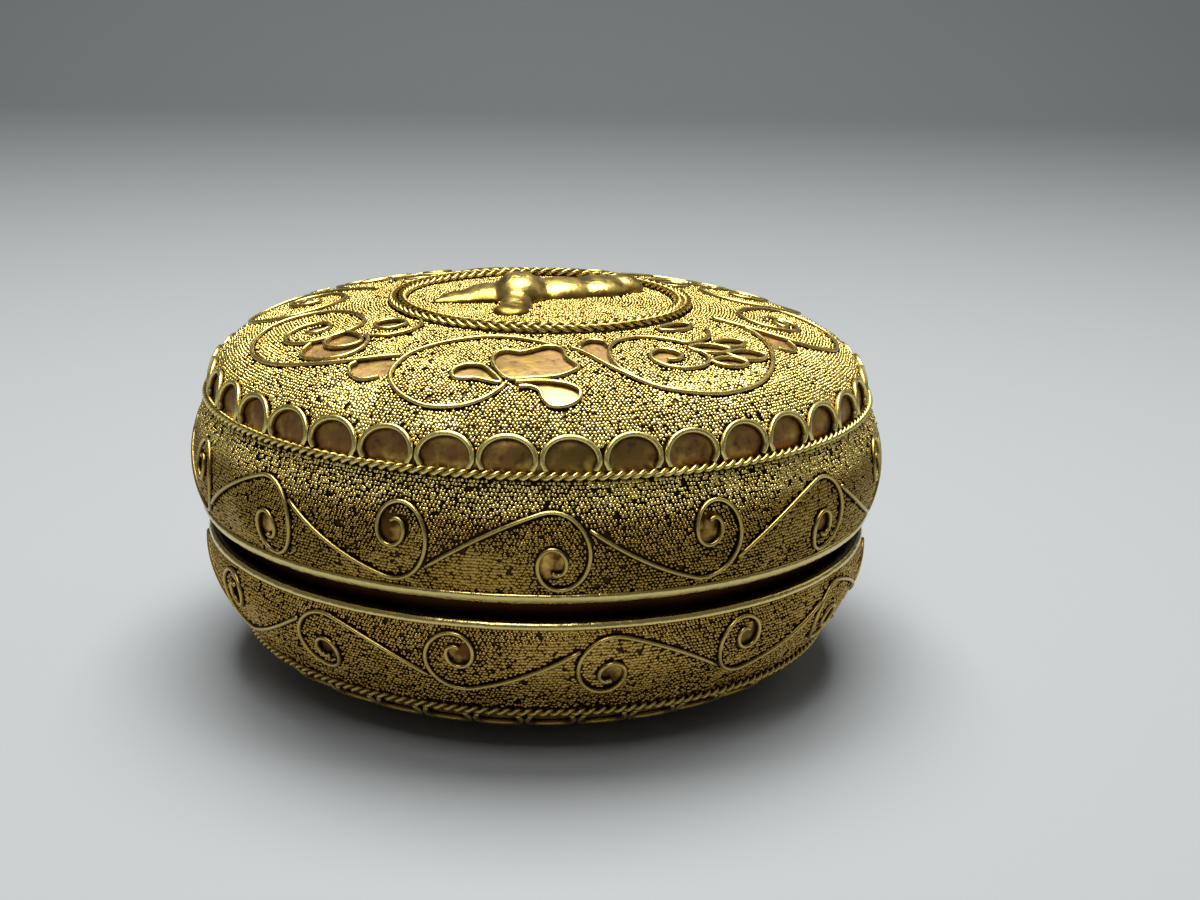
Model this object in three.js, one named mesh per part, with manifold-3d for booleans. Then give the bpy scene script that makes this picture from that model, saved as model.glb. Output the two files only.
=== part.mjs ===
import * as THREE from 'three';
import Module from 'manifold-3d';
import { mergeVertices } from 'three/addons/utils/BufferGeometryUtils.js';

// Round incense box in gilt metal: a domed base, an inner collar and a lift-off lid.
// Both halves carry twisted ropes, an arcade and vine tendrils of soldered wire.
// Units are millimetres, +Z is up, and the origin is the middle of the resting face.

// Driving dimensions of the two sheet-metal halves: a dome over a wall that swells
// on its way from the shoulder to the edge. The base is turned over and rests on its flat.
const lidForm = {
  shoulder: 44.5,
  edge: 45,
  wall: 15.5,
  swell: 2.15,
  rise: 11.9,
  fullness: 2.75,
  flat: 0,
  rimHeight: 1.6,
  rimStand: 0.8,
  archHeight: 3.9,
  archFirst: THREE.MathUtils.degToRad(0.1),
};

const edgeStep = 0.05;
const baseForm = {
  shoulder: 39.7,
  edge: lidForm.edge - edgeStep,
  wall: 13.2,
  swell: 2.1,
  rise: 7.5,
  fullness: 2,
  flat: 17,
  rimHeight: 0.95,
  rimStand: 0.4,
  archHeight: 2,
  archFirst: THREE.MathUtils.degToRad(1.9),
};

const sheet = 1.2;
const baseTurn = THREE.MathUtils.degToRad(-9.5);

// Driving dimensions of the closure
const mouthGap = 2.35;
const seatGap = 0.3;
const collarSheet = 1;
const collarSeat = 3;
const collarReach = 3.1;
const collarLead = 0.35;

// Driving dimensions of the soldered trim
const solderGap = 0.12;
const shoulderRope = 0.95;
const medallionRadius = 20.15;
const medallionRope = 1.05;
const rimRound = { from: 0.15, to: 0.85, steps: 3 };

// Driving dimensions of the arcade that stands on each shoulder rope
const archCount = 38;
const archFoot = 1.05;
const archWire = 0.55;
const archStand = 0.8;
const archLegGap = 0.3;

// Driving dimensions of the running vine on each wall
const vineWire = 0.5;
const vineStand = 0.55;
const vineGap = 0.25;
const vineRepeats = 8;
const vineTopClear = 3.8;
const vineBottomClear = 0.95;
const vineUnevenness = THREE.MathUtils.degToRad(2.5);

// One wall tendril as drawn flat: half a repeat wide, its eye low and its crest high
const wallTendril = {
  halfPitch: 18.4,
  swing: 3.8,
  eyeX: 1.65,
  eyeY: -1.3,
  loop: 5.1,
  eye: 1.6,
  openAngle: THREE.MathUtils.degToRad(105),
  sweep: THREE.MathUtils.degToRad(480),
  fadeEnd: 0.62,
  rootY: -2.1,
  stemLead: 6.5,
  stemSteps: 4,
  steps: 13,
};

// Wires of half the lid's top, drawn through spots of [degrees from the front, share of the
// way from the medallion's rope to the arches' crowns]; the other half repeats them.
const topTendrils = [
  [[-32.4, 0.53], [-40.7, 0.67], [-52.4, 0.83], [-65.1, 0.87], [-76.5, 0.75], [-80.7, 0.48],
    [-74.1, 0.25], [-62, 0.23], [-56, 0.42], [-58.6, 0.65], [-67.1, 0.66], [-69.3, 0.46],
    [-63, 0.45]],
  [[3.6, 0.22], [-2.2, 0.14], [-9.1, 0.1], [-16, 0.11], [-21.6, 0.18], [-27, 0.3], [-30.1, 0.46],
    [-28.9, 0.74], [-24.4, 0.86], [-19, 0.91], [-13.5, 0.9], [-9.7, 0.85], [-7.4, 0.77]],
  [[8.2, 0.26], [14.2, 0.48], [21.5, 0.75], [33.4, 0.87], [47.5, 0.8], [60.4, 0.59], [66, 0.43]],
  [[69.8, 0.17], [68.5, 0.46], [70.2, 0.74], [78.6, 0.88], [90, 0.82], [96.7, 0.57], [90.2, 0.33],
    [80, 0.31], [74.7, 0.44], [77, 0.63], [83.7, 0.62], [85, 0.47], [81.5, 0.44]],
];

const topTrim = {
  branch_wire: [
    [17.4, 0.56], [16.8, 0.44], [18.5, 0.29], [22.7, 0.19], [29.7, 0.16], [35.1, 0.2],
    [41.1, 0.35], [46.6, 0.35], [51.8, 0.31], [56.2, 0.23],
  ],
  comma_bud: [
    [38.9, 0.43], [39.6, 0.53], [34.8, 0.63], [28.5, 0.6], [26.1, 0.48], [29, 0.38], [33.5, 0.4],
  ],
  leaf_bud: [
    [-49, 0.39], [-45.6, 0.43], [-43.1, 0.53], [-43.5, 0.63], [-46.6, 0.71], [-51.4, 0.75],
    [-54.6, 0.71],
  ],
};

const palmette = [
  [-5.8, 0.66], [-10.5, 0.47], [-8.5, 0.32], [-4.6, 0.33], [0.5, 0.27], [5.8, 0.31], [6.3, 0.4],
  [8.2, 0.52], [3, 0.63],
];

const wireSpans = 3;

// The relief: a smooth crouching bird with one wing spread, its limbs as shares of its length
const reliefLength = 28;
const reliefLimbs = [
  { x: -0.1, y: 0.03, length: 0.13, width: 0.145, height: 0.135, turn: 0 },
  { x: -0.33, y: 0.02, length: 0.18, width: 0.075, height: 0.05, turn: 36 },
  { x: 0.15, y: 0.14, length: 0.16, width: 0.08, height: 0.085, turn: 18 },
  { x: 0.35, y: 0.26, length: 0.155, width: 0.08, height: 0.065, turn: 30 },
  { x: -0.145, y: -0.36, length: 0.07, width: 0.055, height: 0.04, turn: 0 },
  { x: -0.115, y: -0.21, length: 0.075, width: 0.12, height: 0.06, turn: 0 },
];

const roundSteps = 44;
const mitreLimit = 0.65;
const fullTurn = 2 * Math.PI;

const wasm = await Module();
wasm.setup();

// Materials
function gilt(color, roughness) {
  return new THREE.MeshStandardMaterial({ color, roughness, metalness: 1 });
}

const granulatedGold = () => gilt(0xae9648, 0.5);
const wireGold = () => gilt(0xd6c169, 0.34);
const rimGold = () => gilt(0xdcc463, 0.28);
const reliefGold = () => gilt(0xc9b04e, 0.3);
const innerBrass = () => gilt(0x75602f, 0.55);

// A half is described with its shoulder at z = 0, its crown up and its edge down.
function domeHeight(form, radius) {
  return form.rise * (1 - (radius / form.shoulder) ** form.fullness) ** (1 / form.fullness);
}

function domeRadius(form, height) {
  return form.shoulder * (1 - (height / form.rise) ** form.fullness) ** (1 / form.fullness);
}

function wallRadius(form, drop) {
  const part = drop / form.wall;
  return form.shoulder + (form.edge - form.shoulder) * part + 4 * form.swell * part * (1 - part);
}

function wallFlare(form, drop) {
  const part = drop / form.wall;
  return (form.edge - form.shoulder + 4 * form.swell * (1 - 2 * part)) / form.wall;
}

function direction(angle) {
  return new THREE.Vector3(Math.sin(angle), -Math.cos(angle), 0);
}

// A site on the surface is a point and its outward direction.
function siteOnDome(form, angle, radius) {
  const height = domeHeight(form, radius);
  const spoke = direction(angle);
  const lean = radius ** (form.fullness - 1) / form.shoulder ** form.fullness;
  const outward = spoke.clone().multiplyScalar(lean);
  outward.z = height ** (form.fullness - 1) / form.rise ** form.fullness;
  const point = spoke.multiplyScalar(radius);
  point.z = height;
  return { point, outward: outward.normalize() };
}

function siteOnWall(form, angle, drop) {
  const spoke = direction(angle);
  const outward = new THREE.Vector3(spoke.x, spoke.y, wallFlare(form, drop));
  const point = spoke.multiplyScalar(wallRadius(form, drop));
  point.z = -drop;
  return { point, outward: outward.normalize() };
}

// A solid of revolution about Z from a closed outline of [radius, height] pairs.
function turned(outline) {
  const points = outline.map(([radius, height]) => new THREE.Vector2(radius, height));
  const geometry = new THREE.LatheGeometry(points, roundSteps);
  return geometry.rotateX(Math.PI / 2);
}

// The profile of a dome from its flat out to its shoulder
function domeProfile(form, flat, steps) {
  const profile = flat > 0 ? [[0, domeHeight(form, flat)]] : [];
  for (let i = 0; i <= steps; i += 1) {
    const swing = Math.sin((i / steps) * Math.PI / 2);
    const radius = Math.min(flat + (form.shoulder - flat) * swing, form.shoulder);
    profile.push([radius, domeHeight(form, radius)]);
  }
  return profile;
}

// The sheet: the dome and the wall outside, and the same a sheet's thickness inside.
function shellGeometry(form) {
  const wallSteps = 5;
  const inner = { ...form, shoulder: form.shoulder - sheet, rise: form.rise - sheet };
  const wall = [];
  for (let i = 1; i <= wallSteps; i += 1) {
    const drop = (i / wallSteps) * form.wall;
    wall.push([wallRadius(form, drop), -drop]);
  }
  const wallInside = wall.slice(1).reverse().map(([radius, height]) => [radius - sheet, height]);
  return turned([
    ...domeProfile(form, form.flat, 7),
    ...wall,
    ...wallInside,
    ...domeProfile(inner, Math.max(form.flat - sheet, 0), 4).reverse(),
  ].reverse());
}

// A half-round wire round the edge of the wall, its flat side to the sheet.
function rimGeometry(form) {
  const inside = (height) => wallRadius(form, form.wall - height) + solderGap;
  const outline = [[inside(0), -form.wall]];
  for (let i = 0; i <= rimRound.steps; i += 1) {
    const part = rimRound.from + (rimRound.to - rimRound.from) * (i / rimRound.steps);
    const height = form.rimHeight * (1 - Math.cos(part * Math.PI)) / 2;
    const stand = form.rimStand * Math.sin(part * Math.PI);
    outline.push([inside(height) + stand, height - form.wall]);
  }
  outline.push([inside(form.rimHeight), form.rimHeight - form.wall]);
  outline.push(outline[0]);
  return turned(outline);
}

function ropeGeometry(ringRadius, thickness, height) {
  const ring = new THREE.TorusGeometry(ringRadius, thickness / 2, 5, roundSteps);
  return ring.translate(0, 0, height);
}

// The shoulder rope touches neither side of the crease, and clears both alike.
function shoulderRopeGeometry(form) {
  const stand = shoulderRope / 2 + solderGap;
  const flare = wallFlare(form, 0);
  const height = stand * (Math.hypot(1, flare) - 1) / flare;
  return ropeGeometry(form.shoulder + stand, shoulderRope, height);
}

function medallionRopeGeometry(ringRadius) {
  const stand = medallionRope / 2 + solderGap;
  return ropeGeometry(ringRadius, medallionRope, domeHeight(lidForm, ringRadius) + stand);
}

// The collar: a thin ring soldered inside the base that the lid slips over.
function collarGeometry() {
  const seated = wallRadius(baseForm, baseForm.wall - collarSeat);
  const outside = Math.min(lidForm.edge, baseForm.edge, seated) - sheet - seatGap;
  const inside = outside - collarSheet;
  const top = mouthGap + collarReach;
  return turned([
    [inside, -collarSeat],
    [outside, -collarSeat],
    [outside, top - collarLead],
    [outside - collarLead, top],
    [inside, top],
    [inside, -collarSeat],
  ]);
}

// A bar of one section led over sites on a surface, closed on itself or capped.
// The section lists [across, outward] pairs; bends are mitred so that the width holds.
function bar(sites, section, closed) {
  const count = sites.length;
  const sides = section.length;
  const position = [];
  const index = [];
  const leg = (from, to) => to.point.clone().sub(from.point).normalize();
  sites.forEach((site, i) => {
    const before = closed || i > 0 ? sites[(i - 1 + count) % count] : null;
    const after = closed || i < count - 1 ? sites[(i + 1) % count] : null;
    const arrive = before ? leg(before, site) : leg(site, after);
    const leave = after ? leg(site, after) : arrive;
    const along = arrive.clone().add(leave).normalize();
    const mitre = 1 / Math.max(along.dot(arrive), mitreLimit);
    const across = site.outward.clone().cross(along).normalize();
    section.forEach(([side, lift]) => {
      const corner = site.point.clone();
      corner.addScaledVector(across, side * mitre);
      corner.addScaledVector(site.outward, lift);
      position.push(corner.x, corner.y, corner.z);
    });
  });
  const spans = closed ? count : count - 1;
  for (let i = 0; i < spans; i += 1) {
    const here = i * sides;
    const there = ((i + 1) % count) * sides;
    for (let k = 0; k < sides; k += 1) {
      const next = (k + 1) % sides;
      index.push(here + k, here + next, there + next);
      index.push(here + k, there + next, there + k);
    }
  }
  if (!closed) {
    const last = (count - 1) * sides;
    for (let k = 1; k < sides - 1; k += 1) {
      index.push(0, k + 1, k);
      index.push(last, last + k, last + k + 1);
    }
  }
  const geometry = new THREE.BufferGeometry();
  geometry.setAttribute('position', new THREE.Float32BufferAttribute(position, 3));
  geometry.setIndex(index);
  geometry.computeVertexNormals();
  return geometry;
}

// Sections of the two kinds of wire, standing on the sheet with the solder gap below
function ribbonSection(width, stand) {
  const half = width / 2;
  const top = solderGap + stand;
  return [[-half, solderGap], [half, solderGap], [half, top], [-half, top]];
}

function ridgeSection(width, stand) {
  const half = width / 2;
  return [[-half, solderGap], [half, solderGap], [0, solderGap + stand]];
}

// The arcade: one strip bent into a row of round arches, its legs side by side.
function arcadeGeometry(form) {
  const pitch = fullTurn / archCount;
  const legSpace = (archWire + archLegGap) / form.shoulder;
  const halfSpan = (pitch - legSpace) / 2;
  const archSteps = 6;
  const sites = [];
  for (let arch = 0; arch < archCount; arch += 1) {
    const middle = form.archFirst + (arch + 0.5) * pitch;
    for (let i = 0; i <= archSteps; i += 1) {
      const swing = (i / archSteps) * Math.PI;
      const height = archFoot + form.archHeight * Math.sin(swing);
      const angle = middle - halfSpan * Math.cos(swing);
      sites.push(siteOnDome(form, angle, domeRadius(form, height)));
    }
  }
  return bar(sites, ribbonSection(archWire, archStand), true);
}

// A tendril's stem, from its root to the opening of the spiral, which it meets smoothly.
function stem(form, rootX, opening) {
  const heading = form.openAngle - Math.PI / 2;
  const lead = opening.clone();
  lead.x -= form.stemLead * Math.cos(heading);
  lead.y -= form.stemLead * Math.sin(heading);
  const root = new THREE.Vector2(rootX, form.rootY);
  return new THREE.QuadraticBezierCurve(root, lead, opening).getPoints(form.stemSteps);
}

// A tendril drawn flat: from its spiral's opening, the reach fades to the round eye.
function spiral(form) {
  const outline = [];
  for (let i = 0; i <= form.steps; i += 1) {
    const part = i / form.steps;
    const angle = form.openAngle - form.sweep * part;
    const fade = (1 + Math.cos(Math.PI * Math.min(part / form.fadeEnd, 1))) / 2;
    const reach = form.eye + (form.loop - form.eye) * fade;
    const x = form.eyeX + reach * Math.cos(angle);
    outline.push(new THREE.Vector2(x, form.eyeY + reach * Math.sin(angle)));
  }
  return outline;
}

// One tendril of the wall's vine; every other one hangs with its eye up.
function wallTendrilGeometry(form, order) {
  const drawn = wallTendril;
  const halfPitch = Math.PI / vineRepeats;
  const bandBottom = form.wall - form.rimHeight - vineBottomClear;
  const middle = (vineTopClear + bandBottom) / 2;
  const stretch = (bandBottom - vineTopClear) / 2 / drawn.swing;
  const hang = order % 2 === 0 ? 1 : -1;
  const coil = spiral(drawn);
  const reach = Math.max(...coil.map((point) => point.x));
  const flatten = drawn.halfPitch / (halfPitch * wallRadius(form, middle));
  const rootX = reach - drawn.halfPitch + (vineWire + vineGap) * flatten;
  const outline = [...stem(drawn, rootX, coil[0]), ...coil.slice(1)];
  const sites = outline.map(({ x, y }) => {
    const even = (order + x / drawn.halfPitch) * halfPitch;
    const angle = even + vineUnevenness * Math.sin(even);
    return siteOnWall(form, angle, middle - hang * y * stretch);
  });
  return bar(sites, ridgeSection(vineWire, vineStand), false);
}

// A wire of the lid's top, drawn smoothly through its spots in plan.
function topWireGeometry(spots, turn, closed) {
  const inner = medallionRadius + medallionRope / 2;
  const outer = domeRadius(lidForm, archFoot + lidForm.archHeight);
  const plan = spots.map(([degrees, share]) => {
    const spoke = direction(THREE.MathUtils.degToRad(degrees) + turn);
    return spoke.multiplyScalar(inner + share * (outer - inner));
  });
  const course = new THREE.CatmullRomCurve3(plan, closed, 'centripetal');
  const points = course.getPoints(wireSpans * (closed ? plan.length : plan.length - 1));
  const sites = (closed ? points.slice(1) : points).map((point) => {
    const angle = Math.atan2(point.x, -point.y);
    return siteOnDome(lidForm, angle, Math.hypot(point.x, point.y));
  });
  return bar(sites, ridgeSection(vineWire, vineStand), closed);
}

// Between three.js geometry and manifold-3d solids
function solidOf(geometry) {
  const shape = geometry.clone();
  shape.deleteAttribute('normal');
  shape.deleteAttribute('uv');
  const merged = mergeVertices(shape);
  const vertProperties = new Float32Array(merged.attributes.position.array);
  const triVerts = new Uint32Array(merged.index.array);
  return new wasm.Manifold(new wasm.Mesh({ numProp: 3, vertProperties, triVerts }));
}

function geometryOf(solid) {
  const mesh = solid.getMesh();
  const geometry = new THREE.BufferGeometry();
  geometry.setAttribute('position', new THREE.Float32BufferAttribute(mesh.vertProperties, 3));
  geometry.setIndex(new THREE.Uint32BufferAttribute(mesh.triVerts, 1));
  geometry.computeVertexNormals();
  return geometry;
}

// The relief on the medallion, its limbs grown together and cut flat below.
function reliefGeometry() {
  const floor = lidForm.rise + solderGap;
  const limbs = reliefLimbs.map((limb) => {
    const shape = new THREE.SphereGeometry(reliefLength, 10, 6);
    shape.scale(limb.length, limb.width, limb.height);
    shape.rotateZ(THREE.MathUtils.degToRad(limb.turn));
    shape.translate(limb.x * reliefLength, limb.y * reliefLength, floor);
    return solidOf(shape);
  });
  const below = new THREE.BoxGeometry(2 * reliefLength, 2 * reliefLength, reliefLength);
  below.translate(0, 0, floor - reliefLength / 2);
  const whole = limbs.reduce((sum, limb) => sum.add(limb));
  return geometryOf(whole.subtract(solidOf(below)));
}

// Assembly
function piece(name, geometry, material) {
  const mesh = new THREE.Mesh(geometry, material);
  mesh.name = name;
  return mesh;
}

function half(name, form) {
  const group = new THREE.Group();
  group.add(piece(`${name}_shell`, shellGeometry(form), granulatedGold()));
  group.add(piece(`${name}_rim_wire`, rimGeometry(form), rimGold()));
  group.add(piece(`${name}_shoulder_rope`, shoulderRopeGeometry(form), wireGold()));
  group.add(piece(`${name}_arcade`, arcadeGeometry(form), wireGold()));
  for (let order = 0; order < 2 * vineRepeats; order += 1) {
    const label = String(order + 1).padStart(2, '0');
    const tendril = wallTendrilGeometry(form, order);
    group.add(piece(`${name}_wall_tendril_${label}`, tendril, wireGold()));
  }
  return group;
}

function lidGroup() {
  const group = half('lid', lidForm);
  const outerRope = medallionRopeGeometry(medallionRadius);
  const innerRope = medallionRopeGeometry(medallionRadius - medallionRope - solderGap);
  group.add(piece('lid_medallion_outer_rope', outerRope, wireGold()));
  group.add(piece('lid_medallion_inner_rope', innerRope, wireGold()));
  group.add(piece('lid_medallion_relief', reliefGeometry(), reliefGold()));
  for (let side = 0; side < 2; side += 1) {
    const turn = side * Math.PI;
    const add = (name, spots, closed = false) => {
      group.add(piece(`lid_${name}`, topWireGeometry(spots, turn, closed), wireGold()));
    };
    topTendrils.forEach((spots, i) => {
      add(`top_tendril_${side * topTendrils.length + i + 1}`, spots);
    });
    Object.entries(topTrim).forEach(([name, spots]) => add(`${name}_${side + 1}`, spots));
    add(`palmette_${side + 1}`, palmette, true);
  }
  return group;
}

const restHeight = domeHeight(baseForm, baseForm.flat);
const baseEdge = restHeight + baseForm.wall;

const lid = lidGroup();
lid.position.z = baseEdge + mouthGap + lidForm.wall;

const base = half('base', baseForm);
base.rotation.y = Math.PI;
const baseTurned = new THREE.Group();
baseTurned.add(base);
baseTurned.rotation.z = baseTurn;
baseTurned.position.z = restHeight;

const collar = piece('base_collar', collarGeometry(), innerBrass());
collar.position.z = baseEdge;

const box = new THREE.Group();
box.add(baseTurned, collar, lid);

export default box;
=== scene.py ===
"""Dresses the round gilt incense box: granulated sheet, twisted ropes, wire arches and running tendrils."""
import logging
import math
from dataclasses import dataclass, field
from enum import Enum
from typing import Iterable, Sequence

import bpy
import numpy as np
from mathutils import Matrix, Vector, kdtree, noise
from mathutils.bvhtree import BVHTree


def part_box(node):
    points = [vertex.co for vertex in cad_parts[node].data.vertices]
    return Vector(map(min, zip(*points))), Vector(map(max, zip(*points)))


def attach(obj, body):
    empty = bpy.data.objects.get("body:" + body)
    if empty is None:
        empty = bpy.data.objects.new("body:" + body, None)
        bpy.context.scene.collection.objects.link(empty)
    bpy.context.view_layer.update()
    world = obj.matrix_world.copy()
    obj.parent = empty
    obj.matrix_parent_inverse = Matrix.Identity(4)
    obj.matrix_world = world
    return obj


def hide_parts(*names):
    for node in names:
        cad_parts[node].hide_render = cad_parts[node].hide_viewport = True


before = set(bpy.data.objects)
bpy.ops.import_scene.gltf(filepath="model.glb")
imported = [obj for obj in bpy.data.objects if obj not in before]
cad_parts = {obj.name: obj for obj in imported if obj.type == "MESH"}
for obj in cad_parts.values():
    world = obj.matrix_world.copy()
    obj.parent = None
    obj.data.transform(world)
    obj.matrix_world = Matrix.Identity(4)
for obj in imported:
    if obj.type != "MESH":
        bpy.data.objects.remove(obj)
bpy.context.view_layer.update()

MM = 0.001
FULL_TURN = 2 * math.pi
MERGE_REACH = 0.002 * MM
WIRE_ARC_STEPS = 6
TOP_WIRE_STEPS = 8
LENS_POINTS = 10
LENS_BLUNTNESS = 0.3
CURVE_STEPS = 2000
LOG = logging.getLogger("incense_box")

Colour = tuple[int, int, int]
Pair = tuple[float, float]
Outline = Sequence[Pair]
Inputs = dict[str | int, object]


class Body(Enum):
    """The two bodies of the frame that pieces ride on."""

    LID = "lid"
    BASE = "base"


class Slot(Enum):
    """The record's material slots."""

    GROUND = "granulated_gold"
    WIRE = "wire_gold"
    RIM = "rim_gold"
    RELIEF = "relief_gold"
    INNER = "inner_brass"


class Twist(Enum):
    """Which way a rope's strands wind."""

    LEFT = 1
    RIGHT = -1


@dataclass(frozen=True)
class Sites:
    """Points on a sheet and the outward direction at each."""

    points: np.ndarray
    outward: np.ndarray

    def raised(self, height: float) -> "Sites":
        """Returns the sites lifted off the sheet by height."""
        return Sites(self.points + height * self.outward, self.outward)

    def kept(self, chosen: np.ndarray | slice) -> "Sites":
        """Returns the sites that a mask or a slice chooses."""
        return Sites(self.points[chosen], self.outward[chosen])


def in_plan(angle: np.ndarray, radius: np.ndarray) -> np.ndarray:
    """Returns x and y at angles round from the front and distances from the axis."""
    return np.column_stack([np.sin(angle) * radius, -np.cos(angle) * radius])


def angle_round(points: np.ndarray) -> np.ndarray:
    """Returns how far round from the front each point lies."""
    return np.arctan2(points[:, 0], -points[:, 1])


@dataclass(frozen=True)
class HalfForm:
    """The sheet of one half, described with its shoulder at z = 0, its crown up and its edge down."""

    shoulder: float
    edge: float
    wall: float
    swell: float
    rise: float
    fullness: float
    flat: float
    rim_height: float
    rim_stand: float
    arch_height: float
    arch_first: float
    turned_over: bool
    height: float
    turn: float = 0.0
    sheet: float = 1.2 * MM

    def dome_height(self, radius: np.ndarray, inset: float = 0.0) -> np.ndarray:
        """Returns the dome's height over the shoulder.

        Args:
            radius: distances from the axis.
            inset: how far inside the outer surface the dome is taken.
        """
        ratio = np.clip(np.asarray(radius) / (self.shoulder - inset), 0.0, 1.0)
        return (self.rise - inset) * (1 - ratio ** self.fullness) ** (1 / self.fullness)

    def dome_radius(self, height: np.ndarray) -> np.ndarray:
        """Returns the dome's radius at a height over the shoulder."""
        ratio = np.clip(np.asarray(height) / self.rise, 0.0, 1.0)
        return self.shoulder * (1 - ratio ** self.fullness) ** (1 / self.fullness)

    def wall_radius(self, drop: np.ndarray) -> np.ndarray:
        """Returns the wall's radius at a drop below the shoulder."""
        part = np.asarray(drop) / self.wall
        return self.shoulder + (self.edge - self.shoulder) * part + 4 * self.swell * part * (1 - part)

    def wall_flare(self, drop: np.ndarray) -> np.ndarray:
        """Returns how fast the wall widens with the drop."""
        part = np.asarray(drop) / self.wall
        return (self.edge - self.shoulder + 4 * self.swell * (1 - 2 * part)) / self.wall

    def placed(self, vectors: np.ndarray, is_point: bool = True) -> np.ndarray:
        """Takes points or directions of the half's own frame to the row frame.

        Args:
            vectors: an array of three columns.
            is_point: False for directions, which are turned but not moved.

        Returns:
            The array in the row frame.
        """
        matrix = np.array(Matrix.Rotation(self.turn, 3, "Z"))
        if self.turned_over:
            matrix = matrix @ np.diag([-1.0, 1.0, -1.0])
        moved = vectors @ matrix.T
        return moved + np.array([0, 0, self.height]) if is_point else moved

    def _sites(self, angle: np.ndarray, radius: np.ndarray, height: np.ndarray, lean: np.ndarray,
               lift: np.ndarray) -> Sites:
        """Places sites round the axis.

        Args:
            angle: angles round from the front.
            radius: distances from the axis.
            height: heights over the shoulder.
            lean: how much the outward direction points from the axis.
            lift: how much it points up.

        Returns:
            The sites, in the row frame.
        """
        spoke_x, spoke_y = np.sin(angle), -np.cos(angle)
        outward = np.stack([spoke_x * lean, spoke_y * lean, lift], axis=-1)
        outward /= np.linalg.norm(outward, axis=-1, keepdims=True)
        points = np.stack([spoke_x * radius, spoke_y * radius, height], axis=-1)
        return Sites(self.placed(points), self.placed(outward, False))

    def on_dome(self, angle: np.ndarray, radius: np.ndarray) -> Sites:
        """Finds sites on the dome.

        Args:
            angle: angles round from the front.
            radius: distances from the axis.

        Returns:
            The sites, in the row frame.
        """
        angle, radius = np.broadcast_arrays(np.asarray(angle, float), np.asarray(radius, float))
        height = self.dome_height(radius)
        lean = radius ** (self.fullness - 1) / self.shoulder ** self.fullness
        lift = height ** (self.fullness - 1) / self.rise ** self.fullness
        return self._sites(angle, radius, height, lean, lift)

    def on_wall(self, angle: np.ndarray, drop: np.ndarray) -> Sites:
        """Finds sites on the wall.

        Args:
            angle: angles round from the front.
            drop: drops below the shoulder.

        Returns:
            The sites, in the row frame.
        """
        angle, drop = np.broadcast_arrays(np.asarray(angle, float), np.asarray(drop, float))
        return self._sites(angle, self.wall_radius(drop), -drop, np.ones_like(drop), self.wall_flare(drop))


@dataclass(frozen=True)
class Section:
    """The section of a bar that stands on the sheet: pairs of across and outward, in metres."""

    corners: tuple[Pair, ...]

    @staticmethod
    def round_wire(width: float, stand: float, foot: float = 0.1 * MM) -> "Section":
        """Draws an upright wire's section with a round top.

        Args:
            width: across the wire.
            stand: height over the sheet.
            foot: depth of the flat foot under the sheet's surface.

        Returns:
            The section.
        """
        half = width / 2
        arc = [math.pi * i / WIRE_ARC_STEPS for i in range(WIRE_ARC_STEPS + 1)]
        top = [(half * math.cos(a), stand - half + half * math.sin(a)) for a in arc]
        return Section(tuple([(-half, -foot), (half, -foot)] + top))

    @staticmethod
    def ribbon(width: float, stand: float, foot: float = 0.1 * MM) -> "Section":
        """Draws an upright ribbon's section with its top corners rubbed round.

        Args:
            width: across the ribbon.
            stand: height over the sheet.
            foot: depth of the flat foot under the sheet's surface.

        Returns:
            The section.
        """
        half = width / 2
        return Section((
            (-half, -foot), (half, -foot), (half, 0.72 * stand), (0.8 * half, 0.93 * stand),
            (0.3 * half, stand), (-0.3 * half, stand), (-0.8 * half, 0.93 * stand), (-half, 0.72 * stand),
        ))


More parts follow.
